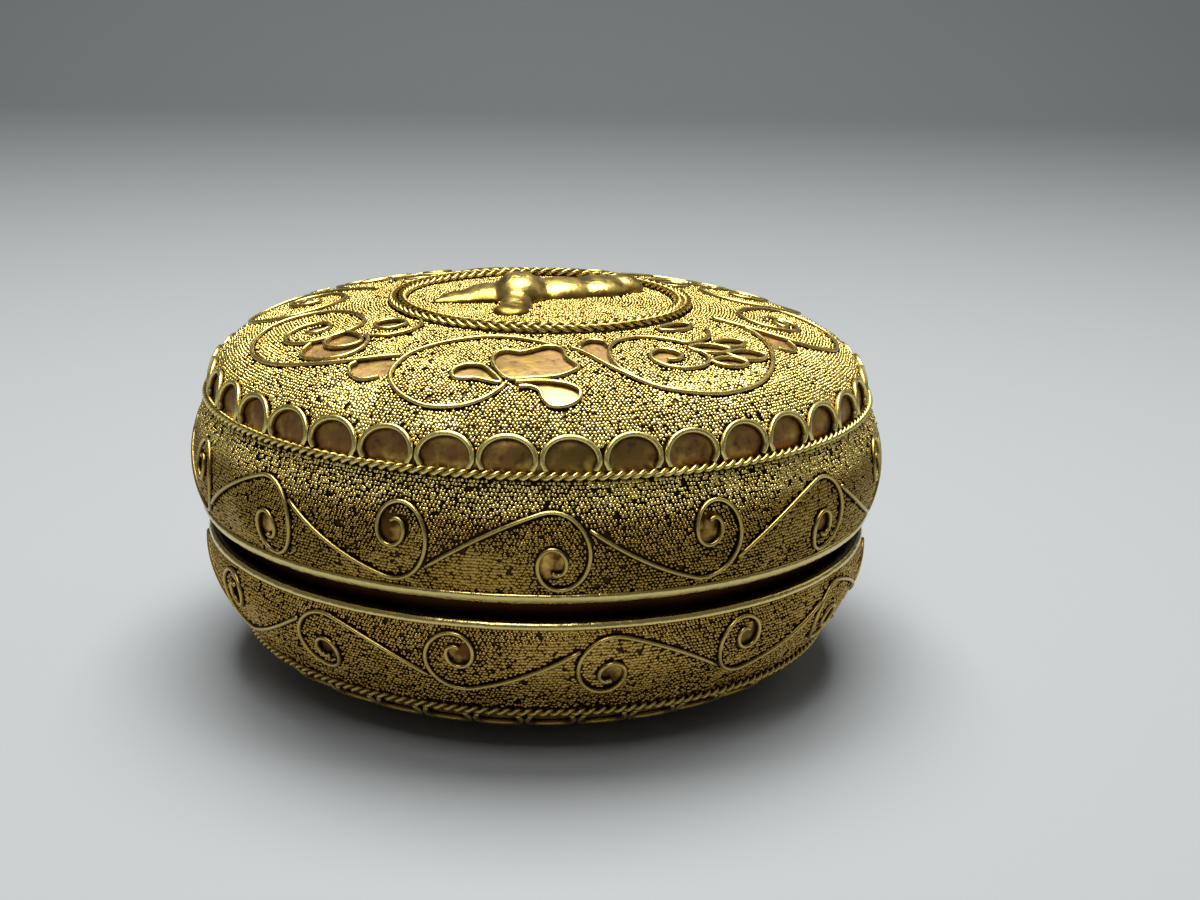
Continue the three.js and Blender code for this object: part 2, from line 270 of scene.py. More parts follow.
@dataclass
class MeshPile:
    """Gathers the meshes of one piece and makes them one object."""

    points: list[np.ndarray] = field(default_factory=list)
    loops: list[np.ndarray] = field(default_factory=list)
    sizes: list[np.ndarray] = field(default_factory=list)
    marks: dict[str, list[np.ndarray]] = field(default_factory=dict)
    count: int = 0

    def add(self, points: np.ndarray, faces: Iterable[Sequence[int]], **marks: np.ndarray) -> None:
        """Adds a mesh.

        Args:
            points: its points, three columns.
            faces: its faces as point numbers.
            marks: values at each point, by attribute name.
        """
        faces = list(faces)
        loops = np.concatenate([np.asarray(f) for f in faces])
        self.add_arrays(points, loops, np.array([len(f) for f in faces]), **marks)

    def add_arrays(self, points: np.ndarray, loops: np.ndarray, sizes: np.ndarray,
                   **marks: np.ndarray) -> None:
        """Adds a mesh whose faces are flat arrays.

        Args:
            points: its points, three columns.
            loops: the point numbers of all faces, end to end.
            sizes: how many points each face has.
            marks: values at each point, by attribute name.
        """
        self.points.append(points)
        self.loops.append(loops + self.count)
        self.sizes.append(sizes)
        for name, values in marks.items():
            self.marks.setdefault(name, []).append(values)
        self.count += len(points)

    def build(self, name: str) -> bpy.types.Object:
        """Makes one smooth-shaded object of all that was added.

        Args:
            name: the object's name.

        Returns:
            The object.
        """
        points = np.concatenate(self.points)
        loops = np.concatenate(self.loops)
        sizes = np.concatenate(self.sizes)
        mesh = bpy.data.meshes.new(name)
        mesh.vertices.add(len(points))
        mesh.vertices.foreach_set("co", points.astype(np.float32).ravel())
        mesh.loops.add(len(loops))
        mesh.loops.foreach_set("vertex_index", loops.astype(np.int32))
        mesh.polygons.add(len(sizes))
        mesh.polygons.foreach_set("loop_start", np.concatenate([[0], np.cumsum(sizes)[:-1]]).astype(np.int32))
        mesh.polygons.foreach_set("loop_total", sizes.astype(np.int32))
        mesh.polygons.foreach_set("use_smooth", np.ones(len(sizes), bool))
        for label, values in self.marks.items():
            layer = mesh.attributes.new(label, "FLOAT", "POINT")
            layer.data.foreach_set("value", np.concatenate(values).astype(np.float32))
        mesh.update(calc_edges=True)
        mesh.validate()
        piece = bpy.data.objects.new(name, mesh)
        bpy.context.scene.collection.objects.link(piece)
        return piece


def tube_faces(count: int, sides: int, closed: bool) -> np.ndarray:
    """Numbers the four-sided faces between the rings of a tube.

    Args:
        count: how many rings the tube has.
        sides: how many points a ring has.
        closed: True where the last ring meets the first.

    Returns:
        The faces' point numbers, four columns.
    """
    spans = np.arange(count if closed else count - 1)[:, None]
    here, there = spans * sides, (spans + 1) % count * sides
    side = np.arange(sides)[None]
    after = (side + 1) % sides
    return np.stack([here + side, here + after, there + after, there + side], axis=-1).reshape(-1, 4)


def swept(pile: MeshPile, sites: Sites, section: Section, closed: bool = False) -> None:
    """Leads a section over sites and adds the bar to a pile.

    Args:
        pile: what the bar is added to.
        sites: where the bar runs.
        section: its section.
        closed: True where the last site meets the first.
    """
    points, outward = sites.points, sites.outward
    count, sides = len(points), len(section.corners)
    if closed:
        along = np.roll(points, -1, axis=0) - np.roll(points, 1, axis=0)
    else:
        along = np.gradient(points, axis=0)
    along /= np.linalg.norm(along, axis=1, keepdims=True)
    across = np.cross(outward, along)
    across /= np.linalg.norm(across, axis=1, keepdims=True)
    corners = np.array(section.corners)
    rings = (points[:, None] + across[:, None] * corners[None, :, :1]
             + outward[:, None] * corners[None, :, 1:])
    faces = list(tube_faces(count, sides, closed))
    if not closed:
        end = np.arange(sides)
        faces += [end[::-1], end + (count - 1) * sides]
    # The lift paints shade at the bar's foot and a highlight on its top
    lift = np.tile(np.clip(corners[:, 1] / corners[:, 1].max(), 0, 1), count)
    pile.add(rings.reshape(-1, 3), faces, lift=lift)


def spline(points: np.ndarray, closed: bool, steps: int) -> np.ndarray:
    """Draws a smooth curve through points.

    Args:
        points: the points, one to a row.
        closed: True where the last point meets the first.
        steps: how many steps lead from point to point.

    Returns:
        The curve's points.
    """
    count = len(points)
    if closed:
        padded = np.concatenate([points[-1:], points, points[:2]])
    else:
        padded = np.concatenate([2 * points[:1] - points[1:2], points, 2 * points[-1:] - points[-2:-1]])
    part = np.linspace(0, 1, steps, endpoint=False)[:, None]
    runs = []
    for i in range(count if closed else count - 1):
        a, b, c, d = padded[i:i + 4]
        runs.append(0.5 * (2 * b + (c - a) * part + (2 * a - 5 * b + 4 * c - d) * part ** 2
                           + (3 * b - a - 3 * c + d) * part ** 3))
    if not closed:
        runs.append(points[-1:])
    return np.concatenate(runs)


def spun(name: str, outline: Outline, closed: bool, steps: int) -> bpy.types.Object:
    """Spins an outline of radius and height once round the axis.

    Args:
        name: the new object's name.
        outline: the outline's points.
        closed: True for a ring, False for an outline that starts and ends on the axis.
        steps: how many steps go round.

    Returns:
        A closed, smooth-shaded object with its faces outwards.
    """
    bpy.ops.object.select_all(action="DESELECT")
    bpy.ops.mesh.primitive_circle_add(vertices=len(outline), radius=1.0, fill_type="NOTHING")
    piece = bpy.context.object
    piece.name = piece.data.name = name
    for vertex, (radius, height) in zip(piece.data.vertices, outline):
        vertex.co = (radius, 0.0, height)
    bpy.ops.object.mode_set(mode="EDIT")
    if not closed:
        bpy.ops.mesh.select_mode(type="EDGE")
        bpy.ops.mesh.select_all(action="DESELECT")
        bpy.ops.object.mode_set(mode="OBJECT")
        last = len(outline) - 1
        for edge in piece.data.edges:
            edge.select = set(edge.vertices) == {0, last}
        bpy.ops.object.mode_set(mode="EDIT")
        bpy.ops.mesh.delete(type="EDGE")
    bpy.ops.mesh.select_all(action="SELECT")
    bpy.ops.mesh.spin(steps=steps, angle=FULL_TURN, center=(0, 0, 0), axis=(0, 0, 1))
    bpy.ops.mesh.select_all(action="SELECT")
    bpy.ops.mesh.remove_doubles(threshold=MERGE_REACH)
    bpy.ops.mesh.normals_make_consistent(inside=False)
    bpy.ops.object.mode_set(mode="OBJECT")
    bpy.ops.object.shade_smooth()
    return piece


def coordinates(piece: bpy.types.Object) -> np.ndarray:
    """Reads a piece's points.

    Args:
        piece: the piece.

    Returns:
        The points, three columns.
    """
    flat = np.zeros(len(piece.data.vertices) * 3)
    piece.data.vertices.foreach_get("co", flat)
    return flat.reshape(-1, 3)


def move_points(piece: bpy.types.Object, points: np.ndarray) -> None:
    """Writes a piece's points back."""
    piece.data.vertices.foreach_set("co", points.ravel())
    piece.data.update()


def mark(piece: bpy.types.Object, values: np.ndarray, name: str = "lift") -> None:
    """Writes a value at each point; by lift, 0 in the hollows and 1 on the crests, the gilt finishes paint
    shade into the hollows and a highlight onto the crests.
    """
    layer = piece.data.attributes.new(name, "FLOAT", "POINT")
    layer.data.foreach_set("value", values.astype(np.float32))


def nearest(points: np.ndarray, marks: np.ndarray) -> np.ndarray:
    """Finds how far each point lies from the nearest mark.

    Args:
        points: the points, three columns.
        marks: the marks, three columns.

    Returns:
        The distance of each point.
    """
    tree = kdtree.KDTree(len(marks))
    for i, spot in enumerate(marks):
        tree.insert(spot, i)
    tree.balance()
    return np.array([tree.find(spot)[2] for spot in points])


def seat(piece: bpy.types.Object, body: Body, slot: Slot, material: bpy.types.Material,
         nodes: Sequence[str] = ()) -> bpy.types.Object:
    """Gives a piece its finish and body, and the nodes that it stands for.

    Args:
        piece: the finished piece, in the row frame.
        body: the body that it rides on.
        slot: the record's slot for its finish; not used.
        material: its material.
        nodes: the frame's nodes that it replaces.

    Returns:
        The piece.
    """
    piece.data.materials.clear()
    piece.data.materials.append(material)
    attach(piece, body.value)
    if nodes:
        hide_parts(*nodes)
    LOG.info("%s rides on %s with %d faces", piece.name, body.value, len(piece.data.polygons))
    return piece


def linear(red: int, green: int, blue: int) -> tuple[float, float, float, float]:
    """Makes a screen colour linear.

    Args:
        red: from 0 to 255.
        green: from 0 to 255.
        blue: from 0 to 255.

    Returns:
        The linear colour with full alpha.
    """
    def channel(value: int) -> float:
        """Returns one channel made linear."""
        part = value / 255
        return part / 12.92 if part <= 0.04045 else ((part + 0.055) / 1.055) ** 2.4
    return channel(red), channel(green), channel(blue), 1.0


class Shading:
    """The nodes of one material, whose patterns read Object coordinates."""

    def __init__(self, name: str) -> None:
        """Starts a material.

        Args:
            name: the material's name.
        """
        self.material = bpy.data.materials.new(name)
        self.material.use_nodes = True
        self.place = self.add("TexCoord", "Object", {})

    def feed(self, node: bpy.types.Node, inputs: Inputs) -> None:
        """Sets a node's inputs.

        Args:
            node: the node.
            inputs: for each input, by name or number, a fixed value or another node's output.
        """
        for name, value in inputs.items():
            if isinstance(value, bpy.types.NodeSocket):
                self.material.node_tree.links.new(value, node.inputs[name])
            else:
                node.inputs[name].default_value = value

    def add(self, kind: str, output: str, inputs: Inputs, **settings: str) -> bpy.types.NodeSocket:
        """Adds a node.

        Args:
            kind: the node's kind.
            output: which of its outputs is wanted.
            inputs: what its inputs get.
            settings: its own settings.

        Returns:
            The output.
        """
        node = self.material.node_tree.nodes.new(f"ShaderNode{kind}")
        for name, value in settings.items():
            setattr(node, name, value)
        self.feed(node, inputs)
        return node.outputs[output]

    def noise(self, size: float, detail: float) -> bpy.types.NodeSocket:
        """Returns a noise value whose marks measure about size."""
        return self.add("TexNoise", "Fac", {"Vector": self.place, "Scale": 1 / size, "Detail": detail})

    def attribute(self, name: str) -> bpy.types.NodeSocket:
        """Returns the value that the mesh holds at each point under a name."""
        return self.add("Attribute", "Fac", {}, attribute_name=name)

    def along(self, axis: str) -> bpy.types.NodeSocket:
        """Returns the place along one axis."""
        return self.add("SeparateXYZ", axis, {"Vector": self.place})

    def spread(self, value: bpy.types.NodeSocket, span: Pair, onto: Pair = (0.0, 1.0),
               easing: str = "LINEAR") -> bpy.types.NodeSocket:
        """Stretches one span of a value onto another.

        Args:
            value: the value.
            span: where it starts and ends.
            onto: what these become.
            easing: how it passes from one to the other.

        Returns:
            The stretched value.
        """
        ends = {"From Min": span[0], "From Max": span[1], "To Min": onto[0], "To Max": onto[1]}
        return self.add("MapRange", "Result", {"Value": value, **ends}, interpolation_type=easing)

    def ramp(self, value: bpy.types.NodeSocket,
             stops: Sequence[tuple[float, Sequence[float]]]) -> bpy.types.NodeSocket:
        """Reads a colour off a row of stops.

        Args:
            value: where to read, from 0 to 1.
            stops: two places or more, from low to high, each with its colour and alpha.

        Returns:
            The colour.
        """
        colour = self.add("ValToRGB", "Color", {"Fac": value})
        elements = colour.node.color_ramp.elements
        for i, (place, tint) in enumerate(stops):
            element = elements[i] if i < 2 else elements.new(place)
            element.position, element.color = place, tint
        return colour

    def mix(self, share: object, under: object, over: object, blend: str = "MIX") -> bpy.types.NodeSocket:
        """Lays one colour over another.

        Args:
            share: how much of the upper one shows.
            under: the lower colour.
            over: the upper colour.
            blend: how they meet.

        Returns:
            The mixed colour.
        """
        inputs = {"Factor": share, "A": under, "B": over}
        return self.add("Mix", "Result", inputs, data_type="RGBA", blend_type=blend)

    def bump(self, height: bpy.types.NodeSocket, strength: float, depth: float) -> bpy.types.NodeSocket:
        """Returns the surface's direction over a fine unevenness."""
        return self.add("Bump", "Normal", {"Height": height, "Strength": strength, "Distance": depth})

    def finished(self, surface: Inputs) -> bpy.types.Material:
        """Returns the material, its surface shader fed."""
        self.feed(self.material.node_tree.nodes["Principled BSDF"], surface)
        return self.material


# Painted shade by height: the share of its colour that the gilt shows, by millimetres over the lid's
# shoulder; darkest down the walls and the base, full in the band round the shoulder, darker again towards the
# crown
GILT_HEIGHT_SHADE: tuple[tuple[float, tuple[float, float, float]], ...] = (
    (-19.0, (0.61, 0.47, 0.30)),
    (-14.0, (0.48, 0.37, 0.22)),
    (-5.2, (0.46, 0.36, 0.22)),
    (-3.0, (1.0, 0.95, 0.86)),
    (4.0, (1.0, 0.98, 0.92)),
    (8.5, (0.84, 0.76, 0.66)),
    (11.5, (0.66, 0.58, 0.47)),
)


@dataclass(frozen=True)
class GiltFinish:
    """Gilt metal with painted shade in its hollows and a painted highlight on its crests, and more painted
    shade down the walls.
    """

    name: str
    # Read off the lift: hollow is painted shade, crest a painted highlight, body between
    crest: Colour
    body: Colour
    hollow: Colour
    roughness: float = 0.34
    smoother: float = 0.08
    rougher: float = 0.12
    grime: float = 0.35
    lift_from: float = 0.15
    lift_to: float = 0.9
    patch_size: float = 6.0 * MM
    patch_detail: float = 5.0
    bump: float = 0.15
    bump_size: float = 0.35 * MM
    bump_depth: float = 0.05 * MM
    bump_detail: float = 3.0
    grain_span: Pair = (0.3, 0.7)
    # How strongly the painted shade by height darkens the finish
    height_shade_share: float = 1.0

    def build(self, lid_form: HalfForm) -> bpy.types.Material:
        """Makes the material, which reads the lift attribute.

        Args:
            lid_form: the lid, from whose shoulder the heights of the painted shade are measured.

        Returns:
            The material.
        """
        shading = Shading(self.name)
        patches = shading.noise(self.patch_size, self.patch_detail)
        wear = shading.add("Math", "Value", {0: patches, 1: self.grime, 2: -self.grime / 2},
                           operation="MULTIPLY_ADD")
        # The lift, moved up and down by random wear patches, picks the colour from painted shade in the
        # hollow to a painted highlight on the crest
        level = shading.add("Math", "Value", {0: shading.attribute("lift"), 1: wear}, operation="ADD")
        gilt = shading.ramp(level, ((self.lift_from, linear(*self.hollow)),
                                    ((self.lift_from + self.lift_to) / 2, linear(*self.body)),
                                    (self.lift_to, linear(*self.crest))))
        grain = shading.noise(self.bump_size, self.bump_detail)
        gloss = (self.roughness - self.smoother, self.roughness + self.rougher)
        return shading.finished({
            "Metallic": 1.0,
            "Base Color": shading.mix(self.height_shade_share, gilt, self._height_shade(shading, lid_form), "MULTIPLY"),
            "Roughness": shading.spread(grain, self.grain_span, gloss),
            "Normal": shading.bump(grain, self.bump, self.bump_depth),
        })

    @staticmethod
    def _height_shade(shading: Shading, lid_form: HalfForm) -> bpy.types.NodeSocket:
        """Finds the painted shade at each height: the share of the colour that shows.

        Args:
            shading: the material's nodes.
            lid_form: the lid, from whose shoulder heights are measured.

        Returns:
            The share, as a colour.
        """
        low, high = GILT_HEIGHT_SHADE[0][0], GILT_HEIGHT_SHADE[-1][0]
        span = (lid_form.height + low * MM, lid_form.height + high * MM)
        stops = [((level - low) / (high - low), (*share, 1.0)) for level, share in GILT_HEIGHT_SHADE]
        return shading.ramp(shading.spread(shading.along("Z"), span), stops)


GILT_FINISHES: dict[Slot, GiltFinish] = {
    Slot.GROUND: GiltFinish(
        "granule_gold", crest=(254, 242, 164), body=(212, 186, 98), hollow=(80, 60, 20), roughness=0.24,
        grime=0.4, lift_from=0.3, lift_to=0.95),
    Slot.WIRE: GiltFinish(
        "soldered_wire_gold", crest=(236, 220, 138), body=(178, 154, 76), hollow=(66, 48, 16), roughness=0.3,
        grime=0.4, lift_from=0.25, height_shade_share=0.75),
    Slot.RIM: GiltFinish(
        "rubbed_rim_gold", crest=(255, 242, 164), body=(200, 172, 88), hollow=(90, 66, 24), roughness=0.2,
        grime=0.5, patch_size=4.0 * MM, bump=0.8, bump_size=1.8 * MM, bump_depth=0.22 * MM, height_shade_share=0.6),
    Slot.RELIEF: GiltFinish(
        "smooth_relief_gold", crest=(240, 220, 132), body=(196, 168, 82), hollow=(70, 52, 18), roughness=0.3,
        grime=0.8, patch_size=3.0 * MM, bump=0.9, bump_size=2.4 * MM, bump_depth=0.3 * MM),
    Slot.INNER: GiltFinish(
        "dull_inner_brass", crest=(120, 86, 44), body=(88, 58, 28), hollow=(52, 34, 16), roughness=0.5,
        grime=0.6),
}


@dataclass(frozen=True)
class SheetFinish:
    """The sheet: a dark colour under the granules, which is painted shade in the gaps between them, and
    copper-toned gilt where it lies bare, darkened by painted shade over the shoulder and down the wall.
    """

    name: str
    # The bare sheet's copper-toned gilt by height, darkened by painted shade over the shoulder and most down
    # the wall
    crown: Colour = (224, 180, 118)
    shoulder: Colour = (140, 94, 46)
    wall: Colour = (100, 62, 26)
    # Bright gold mottle, laid by noise: partly wear of the gilding, partly painted glints
    worn_and_glint: Colour = (206, 170, 84)
    olive: Colour = (128, 106, 46)
    # Painted shade in the gaps between the granules, also laid in fine random mottles as grime
    gap_shade_and_grime: Colour = (50, 34, 10)
    metal: float = 0.9
    roughness: float = 0.36
    wall_to: float = -0.04
    shoulder_at: float = 0.02
    crown_from: float = 0.9
    worn_and_glint_size: float = 2.2 * MM
    olive_size: float = 26 * MM
    grime_size: float = 1.1 * MM
    bump: float = 0.5
    bump_depth: float = 0.25 * MM

    def build(self, form: HalfForm) -> bpy.types.Material:
        """Makes the material for one half, which reads the bare attribute.

        Args:
            form: the half, whose height and way up the colours follow.

        Returns:
            The material.
        """
        shading = Shading(self.name)
        way = -1.0 if form.turned_over else 1.0
        ends = (form.height - way * form.wall, form.height + way * form.rise)
        zone = shading.spread(shading.along("Z"), ends)
        shoulder = form.wall / (form.wall + form.rise)
        gilt = shading.ramp(zone, ((shoulder + self.wall_to, linear(*self.wall)),
                                   (shoulder + self.shoulder_at, linear(*self.shoulder)),
                                   (self.crown_from, linear(*self.crown))))
        mottle = shading.noise(self.worn_and_glint_size, 6.0)
        # Each layer's noise, the span over which it comes in, and its colour
        layers = (
            (shading.noise(self.olive_size, 1.0), (0.5, 0.8), self.olive),
            (mottle, (0.5, 0.68), self.worn_and_glint),
            (shading.noise(self.grime_size, 4.0), (0.44, 0.16), self.gap_shade_and_grime),
        )
        for value, span, over in layers:
            gilt = shading.mix(shading.spread(value, span), gilt, linear(*over))
        # Under the granules the sheet takes the painted shade of the gaps; where it lies bare, the gilt
        return shading.finished({
            "Metallic": self.metal,
            "Roughness": self.roughness,
            "Base Color": shading.mix(shading.attribute("bare"), linear(*self.gap_shade_and_grime), gilt),
            "Normal": shading.bump(mottle, self.bump, self.bump_depth),
        })


@dataclass
class WireField:
    """Remembers where wires run, so that granules keep off them."""

    fill: float = 0.25 * MM
    tracks: list[np.ndarray] = field(default_factory=list)

    def note(self, points: np.ndarray) -> None:
        """Adds a wire's course, filled in between its points.

        Args:
            points: the course, three columns.
        """
        steps = np.linalg.norm(np.diff(points, axis=0), axis=1)
        for start, end, step in zip(points[:-1], points[1:], steps):
            share = np.linspace(0, 1, max(int(step / self.fill), 1), endpoint=False)[:, None]
            self.tracks.append(start + share * (end - start))

    def distances(self, points: np.ndarray) -> np.ndarray:
        """Returns each point's distance to the nearest wire."""
        return nearest(points, np.concatenate(self.tracks))


def inside_outline(points: np.ndarray, outline: np.ndarray) -> np.ndarray:
    """Finds which flat points lie inside a closed outline.

    Args:
        points: the points, two columns.
        outline: the outline's points, two columns.

    Returns:
        True for each point that lies inside.
    """
    x, y = points[:, 0], points[:, 1]
    inside = np.zeros(len(points), bool)
    ends = np.roll(outline, -1, axis=0)
    for (ax, ay), (bx, by) in zip(outline, ends):
        crosses = (ay > y) != (by > y)
        with np.errstate(divide="ignore", invalid="ignore"):
            at = (bx - ax) * (y - ay) / (by - ay) + ax
        inside ^= crosses & (x < at)
    return inside


@dataclass(frozen=True)
class Tendril:
    """The wall vine's one tendril, drawn flat in metres and stretched to its place."""

    half_pitch: float = 18.4 * MM
    swing: float = 3.8 * MM
    eye_x: float = 1.65 * MM
    eye_y: float = -1.3 * MM
    loop: float = 5.1 * MM
    eye: float = 1.6 * MM
    open_angle: float = math.radians(105)
    sweep: float = math.radians(480)
    fade_end: float = 0.62
    root_y: float = -2.1 * MM
    stem_lead: float = 6.5 * MM
    wire: float = 0.5 * MM
    gap: float = -0.6 * MM
    tail_sweep: float = math.radians(72)
    tail_turn_in: float = 0.5
    tail_fall: float = 1.6
    coil_steps: int = 56
    stem_points: int = 14
    tail_steps: int = 9

    def round_eye(self, angle: np.ndarray, reach: np.ndarray | float) -> np.ndarray:
        """Returns flat points at angles and distances round the middle of the eye."""
        return np.column_stack([self.eye_x + reach * np.cos(angle), self.eye_y + reach * np.sin(angle)])

    def coil(self) -> np.ndarray:
        """Returns the spiral's points, from its opening to the end of its eye."""
        part = np.linspace(0, 1, self.coil_steps + 1)
        fade = (1 + np.cos(math.pi * np.minimum(part / self.fade_end, 1))) / 2
        return self.round_eye(self.open_angle - self.sweep * part, self.eye + (self.loop - self.eye) * fade)

    def course(self, flatten: float) -> np.ndarray:
        """Draws the whole tendril: stem, spiral and turned-in tail.

        Args:
            flatten: the drawn half pitch over the real one, which the root's clearance follows.

        Returns:
            Its flat points, two columns.
        """
        coil = self.coil()
        root = np.array([coil[:, 0].max() - self.half_pitch + (self.wire + self.gap) * flatten, self.root_y])
        heading = self.open_angle - math.pi / 2
        lead = coil[0] - self.stem_lead * np.array([math.cos(heading), math.sin(heading)])
        part = np.linspace(0, 1, self.stem_points)[:, None]
        stem = (1 - part) ** 2 * root + 2 * part * (1 - part) * lead + part ** 2 * coil[0]
        part = np.linspace(0, 1, self.tail_steps + 1)[1:]
        tail = self.round_eye(self.open_angle - self.sweep - self.tail_sweep * part,
                              self.eye * (1 - self.tail_turn_in * part ** self.tail_fall))
        return np.concatenate([stem, coil[1:], tail])


@dataclass
class Vine:
    """The running vine on one wall."""

    form: HalfForm
    repeats: int = 8
    top_clear: float = 3.8 * MM
    bottom_clear: float = 0.95 * MM
    unevenness: float = math.radians(2.5)
    eye_sides: int = 24
    tendril: Tendril = Tendril()
    wire: Section = Section.round_wire(0.5 * MM, 0.67 * MM)
    middle: float = field(init=False)
    stretch: float = field(init=False)
    half_pitch: float = field(init=False)

    def __post_init__(self) -> None:
        """Works out the band that the vine fills."""
        bottom = self.form.wall - self.form.rim_height - self.bottom_clear
        self.middle = (self.top_clear + bottom) / 2
        self.stretch = (bottom - self.top_clear) / 2 / self.tendril.swing
        self.half_pitch = math.pi / self.repeats

    def laid(self, order: int, flat: np.ndarray) -> tuple[np.ndarray, np.ndarray]:
        """Lays a tendril's flat points round the wall; every other tendril hangs eye up.

        Args:
            order: which tendril it is, from 0.
            flat: its flat points.

        Returns:
            The angle and the drop of each point.
        """
        hang = 1 if order % 2 == 0 else -1
        even = (order + flat[:, 0] / self.tendril.half_pitch) * self.half_pitch
        return even + self.unevenness * np.sin(even), self.middle - hang * flat[:, 1] * self.stretch

    def course(self, order: int) -> Sites:
        """Returns the sites along one tendril."""
        around = self.half_pitch * self.form.wall_radius(self.middle)
        return self.form.on_wall(*self.laid(order, self.tendril.course(self.tendril.half_pitch / around)))

    def in_eye(self, angle: np.ndarray, drop: np.ndarray) -> np.ndarray:
        """Finds which spots of the wall lie inside the round of an eye.

        Args:
            angle: the spots' angles.
            drop: their drops below the shoulder.

        Returns:
            True for each spot inside an eye.
        """
        inside = np.zeros(len(angle), bool)
        turn = np.linspace(0, FULL_TURN, self.eye_sides, endpoint=False)
        ring = self.tendril.round_eye(turn, self.tendril.eye)
        for order in range(2 * self.repeats):
            ring_angle, ring_drop = self.laid(order, ring)
            middle = ring_angle.mean()
            off = (angle - middle + math.pi) % FULL_TURN - math.pi
            inside |= inside_outline(np.column_stack([off, drop]),
                                     np.column_stack([ring_angle - middle, ring_drop]))
        return inside


@dataclass(frozen=True)
class TopWire:
    """A wire of the lid's top: its points as degrees round from the front and millimetres out."""

    spots: tuple[Pair, ...]
    closed: bool = False
    bare_inside: bool = False
    node: str = ""
    order: int = 0

    def node_on(self, side: int) -> str:
        """Names the frame's node that the wire stands for.

        Args:
            side: 0 for the front and 1 for the back.

        Returns:
            The node's name.
        """
        if self.node == "top_tendril":
            return f"lid_top_tendril_{self.order + 4 * side}"
        return f"lid_{self.node}_{side + 1}"

    def flat(self, turn: float) -> np.ndarray:
        """Draws the smooth course in plan.

        Args:
            turn: how far it is turned round the axis.

        Returns:
            Its points in metres, two columns.
        """
        angle = np.radians([spot[0] for spot in self.spots]) + turn
        radius = np.array([spot[1] for spot in self.spots]) * MM
        return spline(in_plan(angle, radius), self.closed, TOP_WIRE_STEPS)


def lens(angle: float, radius: float, length: float, width: float, tilt: float) -> TopWire:
    """Draws a closed leaf cell with two pointed ends.

    Args:
        angle: degrees round from the front to its middle.
        radius: millimetres out to its middle.
        length: millimetres from point to point.
        width: millimetres across.
        tilt: degrees that its length leans outwards from running round.

    Returns:
        The wire round the cell.
    """
    lean = math.radians(tilt)
    spots = []
    for turn in (FULL_TURN * step / LENS_POINTS for step in range(LENS_POINTS)):
        along = length / 2 * math.cos(turn)
        over = width / 2 * math.sin(turn) * abs(math.sin(turn)) ** LENS_BLUNTNESS
        around = along * math.cos(lean) - over * math.sin(lean)
        outward = along * math.sin(lean) + over * math.cos(lean)
        spots.append((angle + math.degrees(around / radius), radius + outward))
    return TopWire(tuple(spots), closed=True, bare_inside=True)


